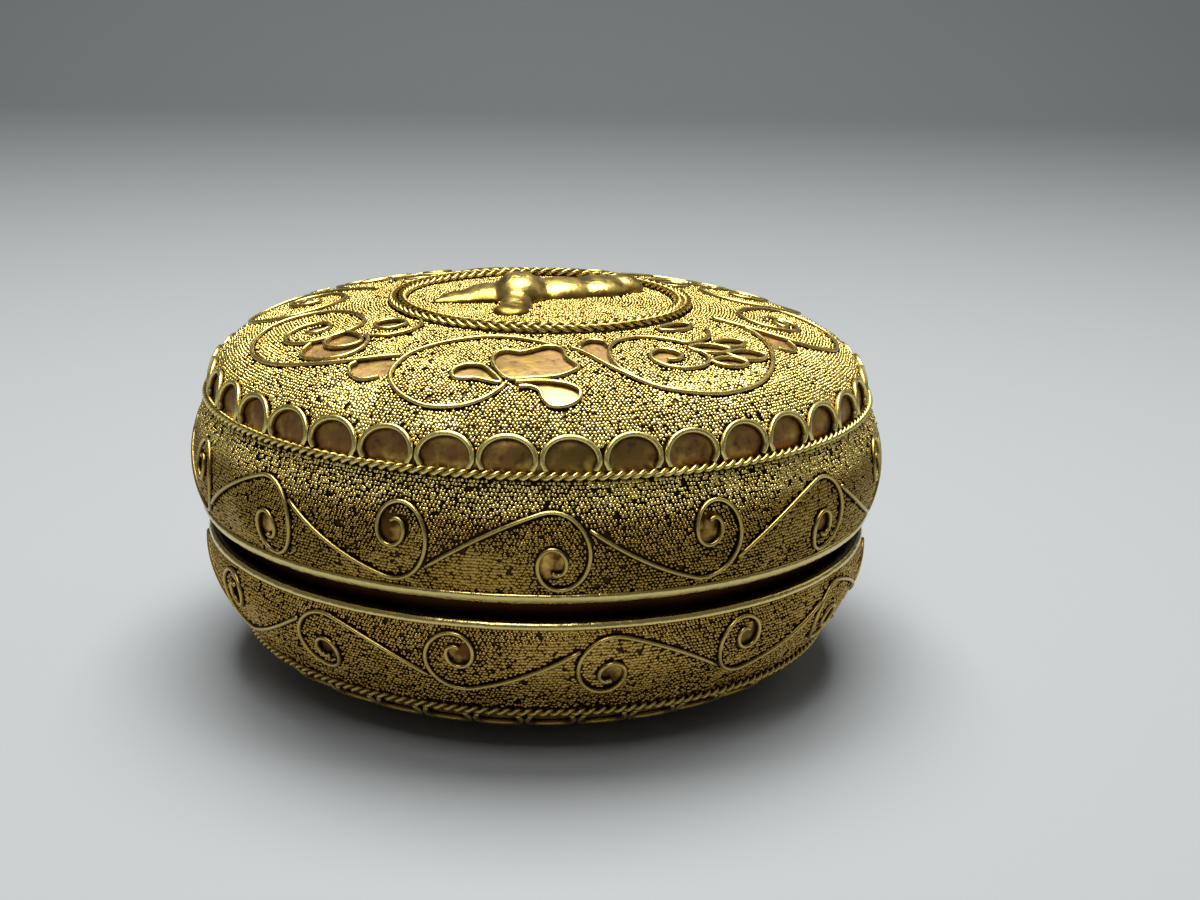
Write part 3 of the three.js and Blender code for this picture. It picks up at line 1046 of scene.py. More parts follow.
# The wires of the lid's front half, as they lie; the far half repeats them turned by half a turn
TOP_WIRES: tuple[TopWire, ...] = (
    TopWire(((-31.7, 32.2), (-35.4, 33.4), (-40.7, 35.6), (-46.0, 37.5), (-52.4, 39.3), (-58.7, 40.2),
             (-65.1, 40.2), (-71.4, 39.3), (-76.5, 37.4), (-79.6, 34.7), (-80.7, 31.5), (-79.0, 28.4),
             (-74.1, 26.2), (-67.7, 25.5), (-62.0, 25.9), (-57.9, 27.6), (-56.0, 30.1), (-56.3, 33.0),
             (-58.6, 35.3), (-62.8, 36.3), (-67.1, 35.5), (-69.7, 33.2), (-69.3, 31.0), (-66.5, 30.0),
             (-63.0, 30.7), (-62.2, 32.5), (-64.5, 33.4)), node="top_tendril", order=1),
    TopWire(((5.6, 26.7), (2.3, 25.2), (-2.2, 23.9), (-9.1, 23.0), (-16.0, 23.2), (-21.6, 24.7),
             (-27.0, 27.4), (-30.1, 30.9), (-30.3, 34.2), (-28.7, 37.3), (-24.4, 39.8), (-19.0, 41.1),
             (-13.5, 40.8), (-9.7, 39.6), (-7.2, 37.7), (-6.5, 36.6)), node="top_tendril", order=2),
    TopWire(((8.2, 26.5), (11.1, 28.2), (14.2, 31.5), (17.3, 34.5), (21.5, 37.5), (26.9, 39.2),
             (33.4, 40.1), (40.9, 39.9), (47.5, 38.6), (54.1, 36.4), (60.4, 33.8), (65.0, 31.0),
             (67.2, 29.2)), node="top_tendril", order=3),
    TopWire(((69.8, 24.4), (68.6, 27.2), (68.3, 31.0), (68.7, 34.2), (70.2, 37.2), (74.3, 39.5),
             (78.6, 40.4), (84.2, 40.3), (90.0, 39.1), (94.8, 36.4), (96.7, 33.4), (95.0, 30.3),
             (90.2, 28.0), (83.4, 27.0), (77.5, 28.2), (74.7, 30.6), (75.7, 33.5), (79.2, 35.1),
             (83.7, 34.6), (85.8, 32.6), (84.2, 30.8), (80.9, 31.0)), node="top_tendril", order=4),
    TopWire(((-5.8, 35.5), (-8.5, 33.7), (-10.5, 31.2), (-10.7, 29.1), (-8.5, 27.8), (-4.6, 28.1),
             (-1.2, 27.0), (1.7, 26.0), (4.2, 26.2), (6.0, 27.4), (6.3, 29.6), (8.2, 32.2), (6.3, 33.7),
             (3.0, 34.8), (-1.4, 35.2)), closed=True, bare_inside=True, node="palmette"),
    TopWire(((-4.6, 36.2), (-1.4, 35.9), (1.9, 35.9), (5.2, 36.5), (7.2, 37.7), (6.7, 39.3), (4.5, 40.3),
             (2.0, 40.3), (0.7, 39.2), (-0.1, 37.7), (-2.0, 37.0), (-3.8, 37.1)), bare_inside=True),
    TopWire(((-7.3, 36.3), (-9.7, 34.1), (-12.4, 32.6), (-15.7, 32.7), (-17.6, 34.3), (-16.2, 36.0),
             (-12.4, 35.8), (-9.7, 36.2)), closed=True, bare_inside=True),
    TopWire(((10.4, 27.0), (11.9, 25.0), (15.5, 24.0), (18.4, 24.7), (18.9, 26.3))),
    TopWire(((19.0, 35.3), (17.2, 33.5), (16.8, 30.4), (18.5, 27.1), (22.7, 24.9), (29.7, 24.2),
             (35.1, 25.1), (38.7, 26.8), (41.1, 28.4), (46.6, 28.4), (51.8, 27.6), (56.2, 25.9)),
             node="branch_wire"),
    TopWire(((38.9, 30.2), (40.0, 31.6), (38.7, 33.6), (34.8, 34.7), (30.4, 34.6), (27.2, 33.3),
             (26.1, 31.5), (27.4, 29.9), (30.5, 29.0), (33.5, 29.7), (34.0, 31.3), (31.7, 32.3),
             (29.3, 32.1)), node="comma_bud"),
    lens(43.4, 31.0, 5.6, 2.7, 26),
    lens(42.6, 34.9, 4.8, 2.4, 20),
    lens(49.4, 34.4, 5.4, 2.7, 24),
    lens(51.2, 30.9, 5.0, 2.5, 16),
    lens(49.3, 23.1, 5.6, 2.6, 6),
    lens(81.3, 32.8, 3.0, 1.5, -20),
    TopWire(((60.3, 35.2), (62.1, 36.6), (65.3, 36.4), (67.9, 34.9))),
    TopWire(((-56.9, 30.6), (-53.4, 29.6), (-49.5, 29.8), (-46.6, 31.0), (-46.9, 32.6), (-50.0, 34.0),
             (-53.9, 33.6)), closed=True, bare_inside=True),
    TopWire(((-49.0, 29.3), (-45.6, 30.2), (-43.1, 32.6), (-43.5, 34.8), (-46.6, 36.5), (-51.4, 37.4),
             (-54.7, 36.6), (-56.6, 34.7)), bare_inside=True, node="leaf_bud"),
    TopWire(((-47.9, 23.9), (-48.4, 25.6), (-51.8, 26.5), (-55.8, 25.6), (-56.4, 23.5), (-53.4, 22.5),
             (-49.4, 22.7)), closed=True, bare_inside=True),
    TopWire(((-47.7, 20.8), (-43.1, 22.5), (-41.8, 25.0), (-43.8, 27.6), (-48.5, 29.1))),
    TopWire(((-38.9, 35.7), (-39.0, 36.8), (-36.6, 38.1), (-33.6, 38.6), (-30.8, 37.6))),
)

# Bare cells that lie between wires, in the same measure
TOP_BARE_CELLS: tuple[tuple[tuple[float, float], ...], ...] = (
    ((10.4, 27.0), (11.9, 25.0), (15.5, 24.0), (18.4, 24.7), (18.9, 26.3), (17.2, 28.7), (15.9, 32.4)),
    ((60.3, 35.2), (62.1, 36.6), (65.3, 36.4), (67.9, 34.9), (68.0, 31.0), (65.0, 31.0), (60.4, 33.8)),
    ((-38.9, 35.7), (-39.0, 36.8), (-36.6, 38.1), (-33.6, 38.6), (-30.8, 37.6), (-30.3, 33.8), (-35.4, 33.4)),
    ((30.5, 29.0), (33.5, 29.7), (34.0, 31.3), (31.7, 32.3), (28.4, 32.6), (27.3, 30.4)),
    ((-66.5, 30.0), (-63.0, 30.7), (-62.2, 32.5), (-64.5, 33.7), (-67.5, 32.6)),
)


@dataclass
class Arcade:
    """The row of ribbon arches above a shoulder rope."""

    form: HalfForm
    count: int = 38
    foot: float = 1.05 * MM
    wire: float = 0.62 * MM
    stand: float = 0.8 * MM
    leg_gap: float = 0.1 * MM
    leg_heights: Pair = (0.72 * MM, 0.9 * MM)
    roundness: float = 0.85
    waist_share: float = 0.22
    draw_in: float = 0.5
    tall_spread: float = 0.03
    lean_spread: float = 0.012
    clear_height: float = 1.3 * MM
    steps: int = 24
    pitch: float = field(init=False)
    half_span: float = field(init=False)
    waist: float = field(init=False)

    def __post_init__(self) -> None:
        """Works out the pitch, the half span between leg centres and the waist's height."""
        self.pitch = FULL_TURN / self.count
        self.half_span = (self.pitch - (self.wire + self.leg_gap) / self.form.shoulder) / 2
        self.waist = self.waist_share * self.form.arch_height

    def build(self, name: str, wires: WireField, seed: int) -> bpy.types.Object:
        """Makes all the arches as one piece, each a little uneven.

        Args:
            name: the piece's name.
            wires: what notes where they run.
            seed: for their unevenness.

        Returns:
            The piece.
        """
        chance = np.random.default_rng(seed)
        pile = MeshPile()
        section = Section.ribbon(self.wire, self.stand)
        legs = np.array(self.leg_heights)
        swing = np.linspace(-self.draw_in, math.pi + self.draw_in, self.steps + 1)
        rise = np.sin(swing)
        for arch in range(self.count):
            middle = self.form.arch_first + (arch + 0.5) * self.pitch
            tall = (self.form.arch_height - self.waist) * (1 + self.tall_spread * chance.standard_normal())
            lean = self.lean_spread * chance.standard_normal() * self.pitch
            height = self.foot + self.waist + np.where(
                rise > 0, tall * np.abs(rise) ** self.roundness, self.waist * rise / math.sin(self.draw_in))
            angle = middle - self.half_span * np.cos(swing) + lean * np.maximum(rise, 0)
            height = np.concatenate([legs, height[1:-1], legs[::-1]])
            angle = np.concatenate([[angle[0]] * 2, angle[1:-1], [angle[-1]] * 2])
            sites = self.form.on_dome(angle, self.form.dome_radius(height))
            swept(pile, sites, section)
            wires.note(sites.points)
        return pile.build(name)

    def covers(self, angle: np.ndarray, height: np.ndarray) -> np.ndarray:
        """Finds which spots of the dome lie under an arch or below the arches' feet.

        Args:
            angle: the spots' angles.
            height: their heights over the shoulder.

        Returns:
            True for each spot that is covered.
        """
        across = ((angle - self.form.arch_first) / self.pitch) % 1 - 0.5
        swing = np.clip(np.abs(across) * self.pitch / self.half_span, 0, 1)
        crown = self.form.arch_height - self.waist
        arch = self.foot + self.waist + crown * np.sqrt(1 - swing ** 2) ** self.roundness
        return (height < arch) | (height < self.clear_height)


@dataclass
class TwistedRope:
    """Two strands wound round each other and laid in a ring."""

    radius: float
    height: float
    thickness: float
    twist: Twist
    ridge: float = 1.32 * MM
    strand_share: float = 0.262
    least_lift: float = 0.15
    sides: int = 7
    steps_per_turn: int = 9

    def build(self, name: str) -> bpy.types.Object:
        """Makes the ring.

        Args:
            name: the piece's name.

        Returns:
            The piece, in the row frame.
        """
        turns = round(FULL_TURN * self.radius / (2 * self.ridge))
        steps = turns * self.steps_per_turn
        around = np.linspace(0, FULL_TURN, steps, endpoint=False)
        spoke = np.stack([np.sin(around), -np.cos(around), np.zeros(steps)], axis=1)
        up = np.array([0.0, 0.0, 1.0])
        pile = MeshPile()
        strand = self.thickness * self.strand_share
        orbit = self.thickness / 2 - strand
        turn = np.linspace(0, FULL_TURN, self.sides, endpoint=False)
        # The rings run the other way round here, so each face is turned over
        faces = tube_faces(steps, self.sides, True)[:, [0, 3, 2, 1]]
        for phase in (0.0, math.pi):
            wind = phase + self.twist.value * turns * around
            middle = (self.radius + orbit * np.cos(wind))[:, None] * spoke
            middle = middle + (self.height + orbit * np.sin(wind))[:, None] * up
            rings = (middle[:, None] + strand * np.cos(turn)[None, :, None] * spoke[:, None]
                     + strand * np.sin(turn)[None, :, None] * up)
            # The lift paints shade and highlight round each strand, brightest where it lies outermost and
            # faces out
            lift = 0.5 + 0.5 * np.cos(wind)[:, None] * np.cos(turn)[None]
            pile.add_arrays(rings.reshape(-1, 3), faces.reshape(-1), np.full(len(faces), 4),
                            lift=np.clip(self.least_lift + lift.reshape(-1), 0, 1))
        return pile.build(name)


@dataclass(frozen=True)
class SolderPool:
    """A place where the solder has run over the granules."""

    middle: tuple[float, float, float]
    across: float
    up: float
    steepness: float = 1.8

    def share(self, spots: np.ndarray) -> np.ndarray:
        """Returns how deep each spot lies in the pool, from 0 to 1."""
        off = (spots - self.middle) / (self.across, self.across, self.up)
        return np.clip(self.steepness * (1 - np.linalg.norm(off, axis=1)), 0, 1)


SOLDER_POOLS: tuple[SolderPool, ...] = (
    SolderPool((7.0 * MM, -46.0 * MM, 14.0 * MM), 15.0 * MM, 7.5 * MM),
    SolderPool((-7.0 * MM, -46.5 * MM, 26.0 * MM), 9.0 * MM, 5.0 * MM),
)


@dataclass
class Granules:
    """Fine solder-fixed balls, modelled once and copied over a band of the sheet."""

    size: float = 0.57 * MM
    step: float = 0.46 * MM
    row_share: float = 0.868
    most_per_piece: int = 10500
    sides: int = 5
    top: float = 0.72
    body: float = 0.85
    peak: float = 0.32
    seated: float = 0.38
    # The painted shade and highlight of a granule: its lift at heights up the unit granule
    lift_heights: tuple[float, ...] = (-0.05, 0.8, 1.12)
    lifts: tuple[float, ...] = (0.0, 0.72, 1.0)
    size_spread: float = 0.13
    size_limits: Pair = (0.7, 1.25)
    tall_limits: Pair = (0.85, 1.1)
    tone_spread: float = 0.09
    shift_along: float = 0.11
    shift_across: float = 0.13
    flow_size: float = 7.0 * MM
    flow_gain: float = 4.0
    flow_from: float = 0.6
    flow_most: float = 0.75
    flow_widens: float = 0.3
    flow_lowers: float = 0.6
    flow_lift: float = 0.45

    def model(self) -> tuple[np.ndarray, np.ndarray, np.ndarray, np.ndarray]:
        """Models one granule of unit radius.

        Returns:
            Its points, its faces as a flat array, their sizes, and each point's lift.
        """
        bpy.ops.object.select_all(action="DESELECT")
        bpy.ops.mesh.primitive_cone_add(vertices=self.sides, radius1=1.0, radius2=self.top, depth=self.body)
        ball = bpy.context.object
        bpy.ops.object.mode_set(mode="EDIT")
        bpy.ops.mesh.select_mode(type="FACE")
        bpy.ops.mesh.select_all(action="DESELECT")
        bpy.ops.object.mode_set(mode="OBJECT")
        for face in ball.data.polygons:
            face.select = face.normal.z > 0.9
        bpy.ops.object.mode_set(mode="EDIT")
        bpy.ops.mesh.poke(offset=self.peak)
        bpy.ops.object.mode_set(mode="OBJECT")
        points = coordinates(ball)
        points[:, 2] += self.seated
        loops = np.array([v for face in ball.data.polygons for v in face.vertices])
        sizes = np.array([len(face.vertices) for face in ball.data.polygons])
        # The lift paints shade round the granule's foot and a highlight on its top
        lift = np.interp(points[:, 2], self.lift_heights, self.lifts)
        bpy.data.objects.remove(ball)
        return points, loops, sizes, lift

    def scatter(self, name: str, sites: Sites, seed: int) -> list[bpy.types.Object]:
        """Copies the granule to sites, in pieces of a limited size.

        Args:
            name: the pieces' name, before a number.
            sites: where granules sit.
            seed: for their turns and sizes.

        Returns:
            The pieces.
        """
        points, loops, sizes, lift = self.model()
        chance = np.random.default_rng(seed)
        pieces = []
        parts = max(math.ceil(len(sites.points) / self.most_per_piece), 1)
        bounds = np.linspace(0, len(sites.points), parts + 1).astype(int)
        for part in range(parts):
            here = sites.kept(slice(bounds[part], bounds[part + 1]))
            spots, outward, count = here.points, here.outward, len(here.points)
            helper = np.where(np.abs(outward[:, 2:]) < 0.9, [[0.0, 0.0, 1.0]], [[1.0, 0.0, 0.0]])
            east = np.cross(helper, outward)
            east /= np.linalg.norm(east, axis=1, keepdims=True)
            north = np.cross(outward, east)
            turn = chance.uniform(0, FULL_TURN, count)
            spread = 1 + self.size_spread * chance.standard_normal(count)
            cos, sin = np.cos(turn)[:, None], np.sin(turn)[:, None]
            x = points[None, :, 0] * cos - points[None, :, 1] * sin
            y = points[None, :, 0] * sin + points[None, :, 1] * cos
            flowed = self.flowed(spots)
            radius = self.size / 2 * np.clip(spread, *self.size_limits) * (1 + self.flow_widens * flowed)
            flat = chance.uniform(*self.tall_limits, count) * (1 - self.flow_lowers * flowed)
            tall = points[None, :, 2] * flat[:, None]
            shape = (x[..., None] * east[:, None] + y[..., None] * north[:, None]
                     + tall[..., None] * outward[:, None])
            copies = spots[:, None] + radius[:, None, None] * shape
            offsets = (np.arange(count) * len(points))[:, None]
            tone = chance.normal(0, self.tone_spread, count)[:, None]
            # Where solder has flowed, the hollows' painted shade is lighter; tone also differs at random
            light = np.clip(np.maximum(lift[None], self.flow_lift * flowed[:, None]) + tone, 0, 1)
            pile = MeshPile()
            pile.add_arrays(copies.reshape(-1, 3), (loops[None] + offsets).reshape(-1), np.tile(sizes, count),
                            lift=light.reshape(-1))
            pieces.append(pile.build(f"{name}_{part + 1}" if parts > 1 else name))
        return pieces

    def flowed(self, spots: np.ndarray) -> np.ndarray:
        """Finds how far the solder has flowed over each granule, in patches and pools.

        Args:
            spots: where the granules sit.

        Returns:
            How far, from 0 to 1.
        """
        patches = np.array([noise.noise(Vector(spot) / self.flow_size) for spot in spots])
        flowed = np.clip(patches * self.flow_gain - self.flow_from, 0, self.flow_most)
        for pool in SOLDER_POOLS:
            flowed = np.maximum(flowed, pool.share(spots))
        return flowed

    def rows(self, around: np.ndarray, seed: int) -> tuple[np.ndarray, np.ndarray]:
        """Lays granules in rows round the axis.

        Args:
            around: each row's radius.
            seed: for the rows' phases and the granules' shifts.

        Returns:
            The angle of each granule and the number of its row, whole and shifted a little.
        """
        chance = np.random.default_rng(seed)
        angles, rows = [], []
        for i, radius in enumerate(around):
            count = max(int(FULL_TURN * radius / self.step), 1)
            even = (np.arange(count) + 0.5 * (i % 2)) * FULL_TURN / count
            shift = chance.normal(0, self.shift_along, count)
            angles.append(even + shift * self.step / max(radius, self.step))
            rows.append(i + chance.normal(0, self.shift_across, count))
        angle = np.concatenate(angles)
        return (angle + math.pi) % FULL_TURN - math.pi, np.concatenate(rows)


@dataclass
class Half:
    """One half of the box: sheet, rim wire, shoulder rope, arcade, vine and granules."""

    name: str
    body: Body
    form: HalfForm
    finishes: dict[Slot, bpy.types.Material]
    seed: int
    solder: float = 0.12 * MM
    rope: float = 1.2 * MM
    sheet_steps: int = 360
    dome_points: int = 56
    wall_points: int = 32
    inner_wall_points: int = 9
    rim_steps: int = 240
    rim_points: int = 12
    rim_fullness: float = 0.8
    rim_lift: float = 0.55
    rim_sink: float = 0.06 * MM
    rim_clear: float = 0.02 * MM
    rim_waves: tuple[int, ...] = (5, 9, 17, 31, 53)
    rim_waver: float = 0.05
    rim_worn: float = 0.08
    rim_rise: float = 0.035 * MM
    # How much of the gilt the inside shows over the dark painted shade of the gaps
    inside_bare_share: float = 0.5
    dome_from: float = 1.4 * MM
    wall_from: float = 0.75 * MM
    wall_clear: float = 0.12 * MM
    wire_clear: float = 0.42 * MM
    lost_share: float = 0.02
    clumps: int = 260
    clump_reach: float = 0.0068
    piled_share: float = 0.4
    piled_rest: float = 0.012
    piled_band: Pair = (2.3 * MM, 3.3 * MM)
    piled_height: float = 0.2 * MM
    wires: WireField = field(default_factory=WireField)
    grain: Granules = field(default_factory=Granules)
    arcade: Arcade = field(init=False)
    vine: Vine = field(init=False)
    sheet: bpy.types.Object = field(init=False)
    own_points: np.ndarray = field(init=False)

    def build(self) -> None:
        """Makes every piece of the half but its granules."""
        self._sheet()
        self._rim()
        self._rope()
        self.arcade = Arcade(self.form)
        arches = self.arcade.build(f"{self.name}_arch_ribbons", self.wires, self.seed)
        self.dress(arches, Slot.WIRE, f"{self.name}_arcade")
        self.vine = Vine(self.form)
        for order in range(2 * self.vine.repeats):
            sites = self.vine.course(order)
            pile = MeshPile()
            swept(pile, sites, self.vine.wire)
            self.wires.note(sites.points)
            node = f"{self.name}_wall_tendril_{order + 1:02d}"
            self.dress(pile.build(f"{node}_wire"), Slot.WIRE, node)

    def dress(self, piece: bpy.types.Object, slot: Slot, *nodes: str) -> None:
        """Gives a piece of this half its finish, and the nodes that it stands for."""
        seat(piece, self.body, slot, self.finishes[slot], nodes)

    def _sheet(self) -> None:
        """Makes the smooth sheet, outside and inside."""
        form = self.form
        inner_flat = max(form.flat - form.sheet, 0.0)
        swing = np.sin(np.linspace(0, math.pi / 2, self.dome_points))
        outline = []
        radius = form.flat + (form.shoulder - form.flat) * swing
        if form.flat > 0:
            outline.append((0.0, float(form.dome_height(form.flat))))
        outline += list(zip(radius, form.dome_height(radius)))
        drop = np.linspace(0, form.wall, self.wall_points)[1:]
        outline += list(zip(form.wall_radius(drop), -drop))
        drop = np.linspace(form.wall, form.wall / 4, self.inner_wall_points)
        outline += list(zip(form.wall_radius(drop) - form.sheet, -drop))
        inner = inner_flat + (form.shoulder - form.sheet - inner_flat) * swing[::-4]
        outline += list(zip(inner, form.dome_height(inner, form.sheet)))
        if inner_flat > 0:
            outline.append((0.0, float(form.dome_height(inner_flat, form.sheet))))
        else:
            outline[-1] = (0.0, outline[-1][1])
        outline = [(float(out), float(up)) for out, up in outline]
        piece = spun(f"{self.name}_sheet", outline, False, self.sheet_steps)
        self.own_points = coordinates(piece)
        move_points(piece, form.placed(self.own_points))
        material = SheetFinish(f"{self.name}_sheet_gilt").build(form)
        self.sheet = seat(piece, self.body, Slot.GROUND, material, [f"{self.name}_shell"])

    def _rim(self) -> None:
        """Makes the half-round rim wire with its hammered waver."""
        form = self.form
        outline = []
        for turn in np.linspace(0, math.pi, self.rim_points):
            height = form.rim_height * (1 - math.cos(turn)) / 2
            stand = (form.rim_stand + self.solder - self.rim_sink) * math.sin(turn) ** self.rim_fullness
            inside = float(form.wall_radius(form.wall - height)) + self.rim_clear
            outline.append((inside + stand, height - form.wall))
        piece = spun(f"{self.name}_rim_ring", outline, True, self.rim_steps)
        points = coordinates(piece)
        around = angle_round(points)
        chance = np.random.default_rng(self.seed + 5)
        waver = np.zeros(len(points))
        for waves in self.rim_waves:
            waver += np.sin(waves * around + chance.uniform(0, FULL_TURN)) / waves ** 0.5
        out = np.linalg.norm(points[:, :2], axis=1)
        spoke = points[:, :2] / out[:, None]
        stand = (out - (form.wall_radius(-points[:, 2]) + self.rim_clear))[:, None]
        points[:, :2] += spoke * stand * (self.rim_waver * waver[:, None] - self.rim_worn)
        points[:, 2] += self.rim_rise * waver * (points[:, 2] + form.wall) / form.rim_height
        # The lift paints a highlight where the wire stands out furthest and shade towards its upper and lower
        # edges
        mark(piece, np.clip(self.rim_lift + stand[:, 0] / form.rim_stand / 2, 0, 1))
        move_points(piece, form.placed(points))
        self.dress(piece, Slot.RIM, f"{self.name}_rim_wire")

    def _rope(self) -> None:
        """Makes the twisted rope in the crease of the shoulder."""
        stand = self.rope / 2 + self.solder
        flare = float(self.form.wall_flare(0.0))
        seat_height = stand * (math.hypot(1, flare) - 1) / flare
        level = self.form.placed(np.array([[0.0, 0.0, seat_height]]))[0, 2]
        rope = TwistedRope(self.form.shoulder + stand, level, self.rope, Twist.LEFT)
        self.dress(rope.build(f"{self.name}_shoulder_twist"), Slot.WIRE, f"{self.name}_shoulder_rope")

    def bare_cells(self, flat: np.ndarray) -> np.ndarray:
        """Returns which spots of the dome, seen in plan, lie in a cell without granules."""
        return np.zeros(len(flat), bool)

    def mark_bare(self) -> None:
        """Marks the sheet where it lies bare: in the arches, the eyes and the cells, and inside."""
        x, y, z = self.own_points.T
        angle, radius = angle_round(self.own_points), np.hypot(x, y)
        on_dome = z > 0
        bare = np.zeros(len(z), bool)
        bare[on_dome] = (self.arcade.covers(angle[on_dome], z[on_dome])
                         | self.bare_cells(self.own_points[on_dome, :2]))
        bare[~on_dome] = self.vine.in_eye(angle[~on_dome], -z[~on_dome])
        skin = np.where(on_dome, self.form.dome_radius(np.maximum(z, 0)), self.form.wall_radius(-z))
        # Under the granules the sheet shows the painted shade of the gaps; the inside shows it in part
        mark(self.sheet, np.where(radius < skin - self.form.sheet / 2, self.inside_bare_share, bare), "bare")

    def scatter(self, name: str, sites: Sites, seed: int) -> None:
        """Sets granules on sites and dresses them."""
        for piece in self.grain.scatter(name, sites, seed):
            self.dress(piece, Slot.GROUND)

    def granulate(self, name: str, sites: Sites, bare: np.ndarray, clear: float) -> None:
        """Covers sites with granules.

        Args:
            name: the pieces' name.
            sites: candidate sites.
            bare: which of them stay bare.
            clear: least distance from a wire's centre line.
        """
        sites = sites.kept(~bare)
        self.scatter(name, sites.kept(self.wires.distances(sites.points) >= clear), self.seed + 11)

    def granulate_wall(self) -> None:
        """Covers the wall between rope and rim wire, with some granules piled on the others."""
        top, bottom = self.wall_from, self.form.wall - self.form.rim_height - self.wall_clear
        count = int((bottom - top) / (self.grain.step * self.grain.row_share))
        drops = np.linspace(top, bottom, count)
        angle, row = self.grain.rows(self.form.wall_radius(drops), self.seed + 1)
        drop = np.clip(np.interp(row, np.arange(count), drops), top, bottom)
        bare = self.vine.in_eye(angle, drop) | self.missing(angle, drop, self.seed + 2)
        sites = self.form.on_wall(angle, drop)
        self.granulate(f"{self.name}_wall_granules", sites, bare, self.wire_clear)
        share = np.interp(drop, self.piled_band, (self.piled_share, self.piled_rest))
        piled = ~bare & (np.random.default_rng(self.seed + 8).uniform(size=len(drop)) < share)
        pile = sites.raised(self.piled_height).kept(piled)
        self.scatter(f"{self.name}_piled_granules", pile, self.seed + 9)

    def granulate_dome(self, name: str, inner: float, clear: float) -> None:
        """Covers the dome from a radius out to the arcade.

        Args:
            name: the pieces' name.
            inner: the radius.
            clear: least distance from a wire's centre line.
        """
        outer = float(self.form.dome_radius(self.dome_from))
        angle, radius = self.dome_rows(inner, outer, self.seed + 3)
        bare = self.arcade.covers(angle, self.form.dome_height(radius))
        bare |= self.missing(angle, radius, self.seed + 4)
        bare |= self.bare_cells(in_plan(angle, radius))
        self.granulate(name, self.form.on_dome(angle, radius), bare, clear)

    def dome_rows(self, inner: float, outer: float, seed: int) -> tuple[np.ndarray, np.ndarray]:
        """Lays rows of granules over the dome, evenly along its curve.

        Args:
            inner: the first row's radius.
            outer: the last row's radius.
            seed: for the granules' shifts.

        Returns:
            The granules' angles and radii.
        """
        fine = np.linspace(inner, outer, CURVE_STEPS)
        steps = np.hypot(np.diff(fine), np.diff(self.form.dome_height(fine)))
        length = np.concatenate([[0], np.cumsum(steps)])
        count = int(length[-1] / (self.grain.step * self.grain.row_share))
        radii = np.interp(np.linspace(0, length[-1], count), length, fine)
        angle, row = self.grain.rows(radii, seed)
        return angle, np.clip(np.interp(row, np.arange(count), radii), inner, outer)

    def missing(self, angle: np.ndarray, along: np.ndarray, seed: int) -> np.ndarray:
        """Finds which granules are lost: single ones here and there, and small clumps.

        Args:
            angle: the granules' angles.
            along: their drops or radii.
            seed: for the losses.

        Returns:
            True for each granule that is lost.
        """
        chance = np.random.default_rng(seed)
        along = along / self.form.shoulder
        lost = chance.uniform(size=len(angle)) < self.lost_share
        clump_angle = chance.uniform(-math.pi, math.pi, self.clumps)
        clump_along = chance.uniform(along.min(), along.max(), self.clumps)
        clumps = np.column_stack([clump_angle, clump_along, np.zeros(self.clumps)])
        spots = np.column_stack([angle, along, np.zeros(len(angle))])
        return lost | (nearest(spots, clumps) < self.clump_reach)


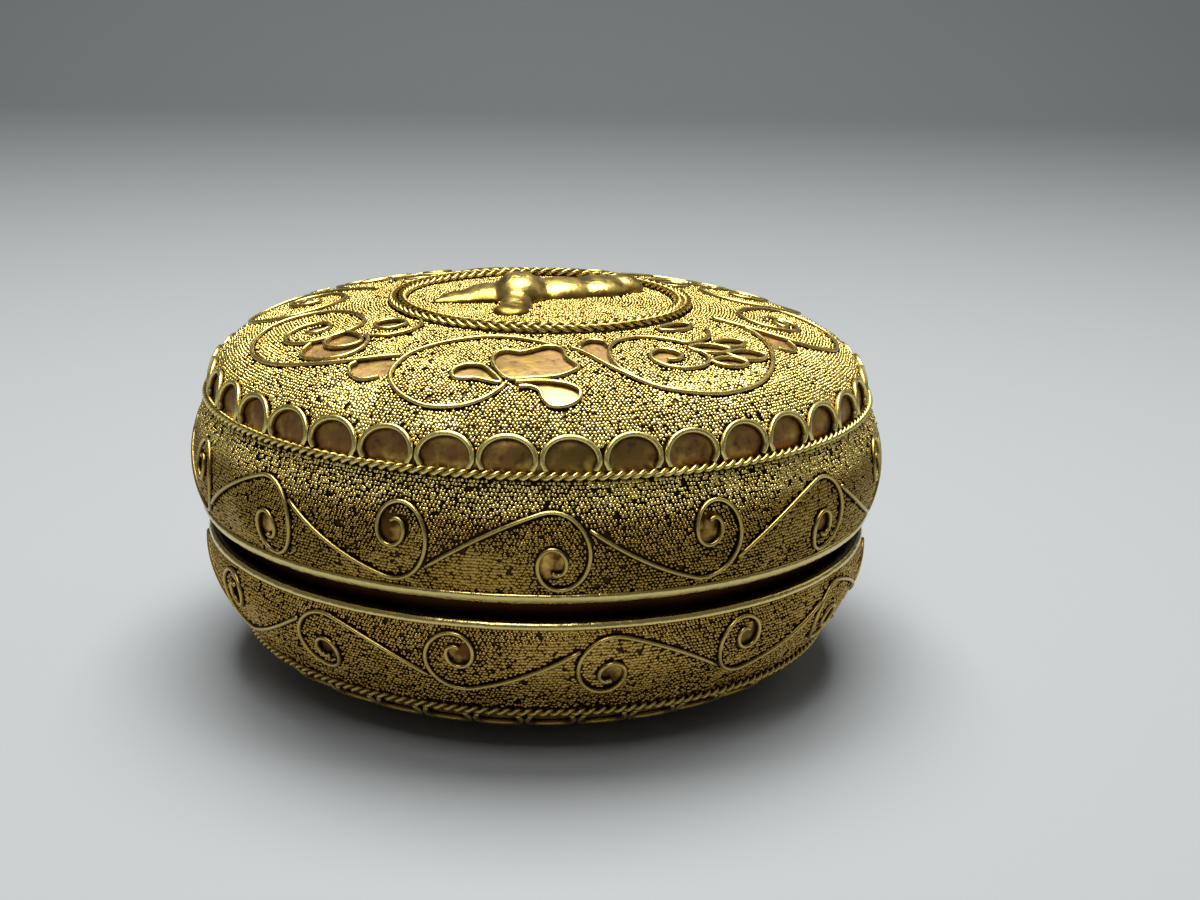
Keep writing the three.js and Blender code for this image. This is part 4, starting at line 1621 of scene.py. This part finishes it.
@dataclass
class Lid(Half):
    """The lid, with its medallion and the spirals round it."""

    medallion: float = 20.15 * MM
    medallion_rope: float = 1.2 * MM
    medallion_ridge: float = 1.5 * MM
    rope_clear: float = 0.2 * MM
    relief_clear: float = 0.3 * MM
    top_clear: float = 0.43 * MM
    top_wire: Section = Section.round_wire(0.55 * MM, 0.67 * MM)
    cells: list[np.ndarray] = field(default_factory=list)

    def build(self) -> None:
        """Makes every piece of the lid."""
        super().build()
        self._top_wires()
        self._medallion()
        relief = Relief(self.form).build()
        self.dress(relief, Slot.RELIEF, "lid_medallion_relief")
        self.granulate_wall()
        inner = self.medallion + self.medallion_rope / 2 + self.rope_clear
        self.granulate_dome("lid_top_granules", inner, self.top_clear)
        self._granulate_medallion(relief)
        self.mark_bare()

    def bare_cells(self, flat: np.ndarray) -> np.ndarray:
        """Finds which spots of the dome lie in a cell without granules.

        Args:
            flat: the spots in plan, two columns.

        Returns:
            True for each spot in a cell.
        """
        bare = np.zeros(len(flat), bool)
        for cell in self.cells:
            bare |= inside_outline(flat, cell)
        return bare

    def _top_wires(self) -> None:
        """Makes the wires round the medallion, front and back."""
        trim = MeshPile()
        for side in range(2):
            for wire in TOP_WIRES:
                flat = wire.flat(side * math.pi)
                sites = self.form.on_dome(angle_round(flat), np.linalg.norm(flat, axis=1))
                closing = sites.points[:1] if wire.closed else sites.points[:0]
                self.wires.note(np.concatenate([sites.points, closing]))
                if wire.bare_inside:
                    self.cells.append(flat)
                pile = MeshPile() if wire.node else trim
                swept(pile, sites, self.top_wire, wire.closed)
                if wire.node:
                    node = wire.node_on(side)
                    self.dress(pile.build(f"{node}_course"), Slot.WIRE, node)
            for cell in TOP_BARE_CELLS:
                self.cells.append(TopWire(cell, closed=True).flat(side * math.pi))
        self.dress(trim.build("lid_leaf_and_bud_wires"), Slot.WIRE)

    def _medallion(self) -> None:
        """Makes the two ropes of opposite twist that frame the medallion."""
        inner = self.medallion - self.medallion_rope - self.solder
        stand = self.medallion_rope / 2 + self.solder
        for label, radius, twist in (("outer", self.medallion, Twist.RIGHT), ("inner", inner, Twist.LEFT)):
            level = self.form.on_dome(0.0, radius).points[2] + stand
            rope = TwistedRope(radius, level, self.medallion_rope, twist, self.medallion_ridge)
            self.dress(rope.build(f"lid_medallion_{label}_twist"), Slot.WIRE, f"lid_medallion_{label}_rope")

    def _granulate_medallion(self, relief: bpy.types.Object) -> None:
        """Covers the medallion's floor round the relief.

        Args:
            relief: the relief, under which no granule lies.
        """
        outer = self.medallion - 1.5 * self.medallion_rope - self.solder - self.rope_clear
        angle, radius = self.dome_rows(self.relief_clear, outer, self.seed + 6)
        sites = self.form.on_dome(angle, radius)
        tree = BVHTree.FromObject(relief, bpy.context.evaluated_depsgraph_get())
        above = Vector((0.0, 0.0, 1.0))
        bare = np.array([tree.ray_cast(Vector(spot), above)[0] is not None for spot in sites.points])
        bare |= self.missing(angle, radius, self.seed + 7)
        self.granulate("lid_medallion_granules", sites, bare, self.rope_clear)


@dataclass(frozen=True)
class Limb:
    """One rounded mass of the relief, in millimetres from the medallion's middle."""

    x: float
    y: float
    length: float
    width: float
    height: float
    turn: float


RELIEF_LIMBS: tuple[Limb, ...] = (
    Limb(-2.9, 0.4, 3.9, 4.6, 3.75, 0),
    Limb(-6.6, 1.2, 4.6, 4.2, 1.9, 24),
    Limb(-10.0, -0.4, 4.6, 2.9, 1.2, 32),
    Limb(-12.6, -2.4, 2.6, 1.2, 0.8, 36),
    Limb(2.6, 3.4, 5.6, 4.4, 2.5, 20),
    Limb(7.6, 5.6, 5.4, 4.4, 2.35, 28),
    Limb(11.4, 7.6, 3.2, 3.0, 2.3, 31),
    Limb(-1.2, 5.6, 2.8, 3.4, 2.2, -20),
    Limb(-3.3, -5.6, 2.4, 3.4, 1.7, 0),
    Limb(-3.9, -9.0, 2.6, 2.8, 1.15, 0),
)


@dataclass
class Relief:
    """The small smooth creature on the medallion."""

    form: HalfForm
    limbs: tuple[Limb, ...] = RELIEF_LIMBS
    voxel: float = 0.28 * MM
    sink: float = 0.05 * MM
    least_lift: float = 0.25
    bright_height: float = 2.2 * MM
    smoothing: float = 0.6
    smooth_rounds: int = 14

    def build(self) -> bpy.types.Object:
        """Melts the masses together and cuts them flat on the medallion.

        Returns:
            The piece.
        """
        floor = float(self.form.dome_height(0.0)) + self.form.height
        bpy.ops.object.select_all(action="DESELECT")
        masses = []
        for limb in self.limbs:
            bpy.ops.mesh.primitive_uv_sphere_add(segments=32, ring_count=20, radius=1.0)
            mass = bpy.context.object
            points = coordinates(mass) * np.array([limb.length, limb.width, limb.height]) * MM
            turn = np.array(Matrix.Rotation(math.radians(limb.turn), 3, "Z"))
            move_points(mass, points @ turn.T + np.array([limb.x * MM, limb.y * MM, floor]))
            masses.append(mass)
        bpy.ops.object.select_all(action="DESELECT")
        for mass in masses:
            mass.select_set(True)
        bpy.context.view_layer.objects.active = masses[0]
        bpy.ops.object.join()
        relief = bpy.context.object
        relief.name = relief.data.name = "lid_medallion_creature"
        for kind, values in (("REMESH", {"mode": "VOXEL", "voxel_size": self.voxel}),
                             ("SMOOTH", {"factor": self.smoothing, "iterations": self.smooth_rounds})):
            modifier = relief.modifiers.new(kind.lower(), kind)
            for key, value in values.items():
                setattr(modifier, key, value)
            bpy.ops.object.modifier_apply(modifier=modifier.name)
        bpy.ops.object.mode_set(mode="EDIT")
        bpy.ops.mesh.select_all(action="SELECT")
        bpy.ops.mesh.bisect(plane_co=(0, 0, floor - self.sink), plane_no=(0, 0, 1), use_fill=True,
                            clear_inner=True)
        bpy.ops.mesh.select_all(action="SELECT")
        bpy.ops.mesh.normals_make_consistent(inside=False)
        bpy.ops.object.mode_set(mode="OBJECT")
        bpy.ops.object.shade_smooth()
        height = coordinates(relief)[:, 2] - floor
        # The lift paints shade low on the relief and a highlight towards its top
        mark(relief, np.clip(self.least_lift + height / self.bright_height, 0, 1))
        return relief


@dataclass
class Base(Half):
    """The base, with its inner collar and its flattened bottom."""

    rest: float = 23.5 * MM
    collar: float = 1.0 * MM
    lead: float = 0.33 * MM
    collar_steps: int = 192
    collar_lifts: Pair = (0.3, 0.9)

    def build(self) -> None:
        """Makes every piece of the base."""
        super().build()
        self._collar()
        self.granulate_wall()
        self.granulate_dome("base_bottom_granules", self.rest, self.wire_clear)
        self.mark_bare()

    def _collar(self) -> None:
        """Makes the thin ring that the lid slips over."""
        low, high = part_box("base_collar")
        outside = high.x
        inside = outside - self.collar
        outline = [(inside, low.z), (outside, low.z), (outside, high.z - self.lead),
                   (outside - self.lead / 3, high.z - self.lead / 3), (outside - self.lead, high.z),
                   (inside, high.z)]
        piece = spun("base_collar_ring", outline, True, self.collar_steps)
        # The lift paints shade low on the collar, lighter towards its top
        mark(piece, np.interp(coordinates(piece)[:, 2], (low.z, high.z), self.collar_lifts))
        for face in piece.data.polygons:
            face.use_smooth = abs(face.normal.z) < 0.5
        self.dress(piece, Slot.INNER, "base_collar")


@dataclass(frozen=True)
class View:
    """The photograph's view of the box, in metres and radians, and the lens in millimetres."""

    back: float = -249.41 * MM
    above_shoulder: float = 61.73 * MM
    pitch: float = 0.27777
    yaw: float = 0.0345
    roll: float = 0.02253
    lens: float = 55.5
    sensor: float = 36.0
    sees_from: float = 5 * MM

    def build(self, shoulder_height: float) -> bpy.types.Object:
        """Sets the camera at the photograph's place.

        Args:
            shoulder_height: height of the lid's shoulder over the floor.

        Returns:
            The camera.
        """
        forward = Vector((math.sin(self.yaw) * math.cos(self.pitch),
                          math.cos(self.yaw) * math.cos(self.pitch), -math.sin(self.pitch)))
        level = Vector((math.cos(self.yaw), -math.sin(self.yaw), 0))
        up = level.cross(forward)
        right = math.cos(self.roll) * level + math.sin(self.roll) * up
        tilted = -math.sin(self.roll) * level + math.cos(self.roll) * up
        data = bpy.data.cameras.new("photo_view")
        data.lens = self.lens
        data.sensor_width = self.sensor
        data.clip_start = self.sees_from
        camera = bpy.data.objects.new("photo_view", data)
        bpy.context.scene.collection.objects.link(camera)
        place = Matrix((right, tilted, -forward)).transposed().to_4x4()
        place.translation = Vector((0.0, self.back, shoulder_height + self.above_shoulder))
        camera.matrix_world = place
        bpy.context.scene.camera = camera
        return camera


@dataclass(frozen=True)
class Lamp:
    """One square soft lamp: where it hangs, the point that it faces, its side and its watts."""

    name: str
    place: tuple[float, float, float]
    aim: tuple[float, float, float]
    size: float
    power: float

    def build(self) -> None:
        """Hangs the lamp."""
        data = bpy.data.lights.new(self.name, "AREA")
        data.size = self.size
        data.energy = self.power
        lamp = bpy.data.objects.new(self.name, data)
        bpy.context.scene.collection.objects.link(lamp)
        lamp.location = self.place
        lamp.rotation_euler = (Vector(self.aim) - Vector(self.place)).to_track_quat("-Z", "Y").to_euler()


LAMPS: tuple[Lamp, ...] = (
    Lamp("overhead", place=(0.0, 0.10, 0.60), aim=(0, 0, 0.02), size=0.43, power=6.6),
    Lamp("side_window", place=(0.50, 0.28, 0.42), aim=(0, 0, 0.03), size=0.40, power=0.25),
    Lamp("front_fill", place=(-0.06, -0.32, 0.57), aim=(0, 0, 0.03), size=0.26, power=1.1),
)


@dataclass(frozen=True)
class Studio:
    """The pale sweep that the box stands on, and soft light from above."""

    floor: Colour = (156, 159, 160)
    far: Colour = (170, 175, 176)
    width: float = 2.4
    front: float = -1.2
    depth: float = 0.75
    bend: float = 0.35
    bend_steps: int = 12
    height: float = 1.2
    fade_from: float = 0.45
    roughness: float = 0.7
    specular: float = 0.25
    room: tuple[float, float, float, float] = (0.80, 0.82, 0.85, 1.0)
    room_light: float = 0.16

    def build(self) -> None:
        """Makes the sweep, the lamps and the world."""
        self._sweep()
        for lamp in LAMPS:
            lamp.build()
        world = bpy.data.worlds.new("soft_room")
        world.use_nodes = True
        backdrop = world.node_tree.nodes["Background"]
        backdrop.inputs["Color"].default_value = self.room
        backdrop.inputs["Strength"].default_value = self.room_light
        bpy.context.scene.world = world

    def _sweep(self) -> None:
        """Makes the floor with its curve up to the backdrop."""
        outline = [(self.front, 0.0), (self.depth, 0.0)]
        for step in range(1, self.bend_steps + 1):
            turn = math.pi / 2 * step / self.bend_steps
            outline.append((self.depth + self.bend * math.sin(turn), self.bend * (1 - math.cos(turn))))
        outline.append((self.depth + self.bend, self.height))
        bpy.ops.object.select_all(action="DESELECT")
        bpy.ops.mesh.primitive_grid_add(x_subdivisions=1, y_subdivisions=len(outline) - 1, size=1.0)
        sweep = bpy.context.object
        sweep.name = "studio_sweep"
        for i, vertex in enumerate(sweep.data.vertices):
            depth, height = outline[i // 2]
            vertex.co = (self.width * (i % 2 - 0.5), depth, height)
        bpy.ops.object.shade_smooth()
        shading = Shading("pale_sweep")
        ends = (self.fade_from, self.depth + self.bend)
        fade = shading.spread(shading.along("Y"), ends, easing="SMOOTHSTEP")
        sweep.data.materials.append(shading.finished({
            "Roughness": self.roughness,
            "Specular IOR Level": self.specular,
            "Base Color": shading.mix(fade, linear(*self.floor), linear(*self.far)),
        }))


def main() -> None:
    """Builds the scene: the view, the studio, the lid and the base."""
    logging.basicConfig(level=logging.INFO, format="%(message)s")
    base_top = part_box("base_shell")[1].z
    lid_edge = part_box("lid_shell")[0].z
    lid_wall, base_wall = 15.5 * MM, 13.2 * MM
    lid_form = HalfForm(
        shoulder=44.5 * MM, edge=45.0 * MM, wall=lid_wall, swell=2.15 * MM, rise=11.9 * MM, fullness=2.75,
        flat=0.0, rim_height=1.6 * MM, rim_stand=0.8 * MM, arch_height=3.3 * MM,
        arch_first=math.radians(0.1), turned_over=False, height=lid_edge + lid_wall)
    base_form = HalfForm(
        shoulder=39.7 * MM, edge=44.95 * MM, wall=base_wall, swell=2.1 * MM, rise=7.5 * MM, fullness=2.0,
        flat=17 * MM, rim_height=0.95 * MM, rim_stand=0.4 * MM, arch_height=2.0 * MM,
        arch_first=math.radians(1.9), turned_over=True, height=base_top - base_wall, turn=math.radians(-9.5))
    view = View().build(lid_form.height)
    LOG.info("camera %s set", view.name)
    Studio().build()
    bpy.context.scene.view_settings.view_transform = "Standard"
    finishes = {slot: finish.build(lid_form) for slot, finish in GILT_FINISHES.items()}
    Lid("lid", Body.LID, lid_form, finishes, seed=101).build()
    Base("base", Body.BASE, base_form, finishes, seed=202).build()


if __name__ == "__main__":
    main()
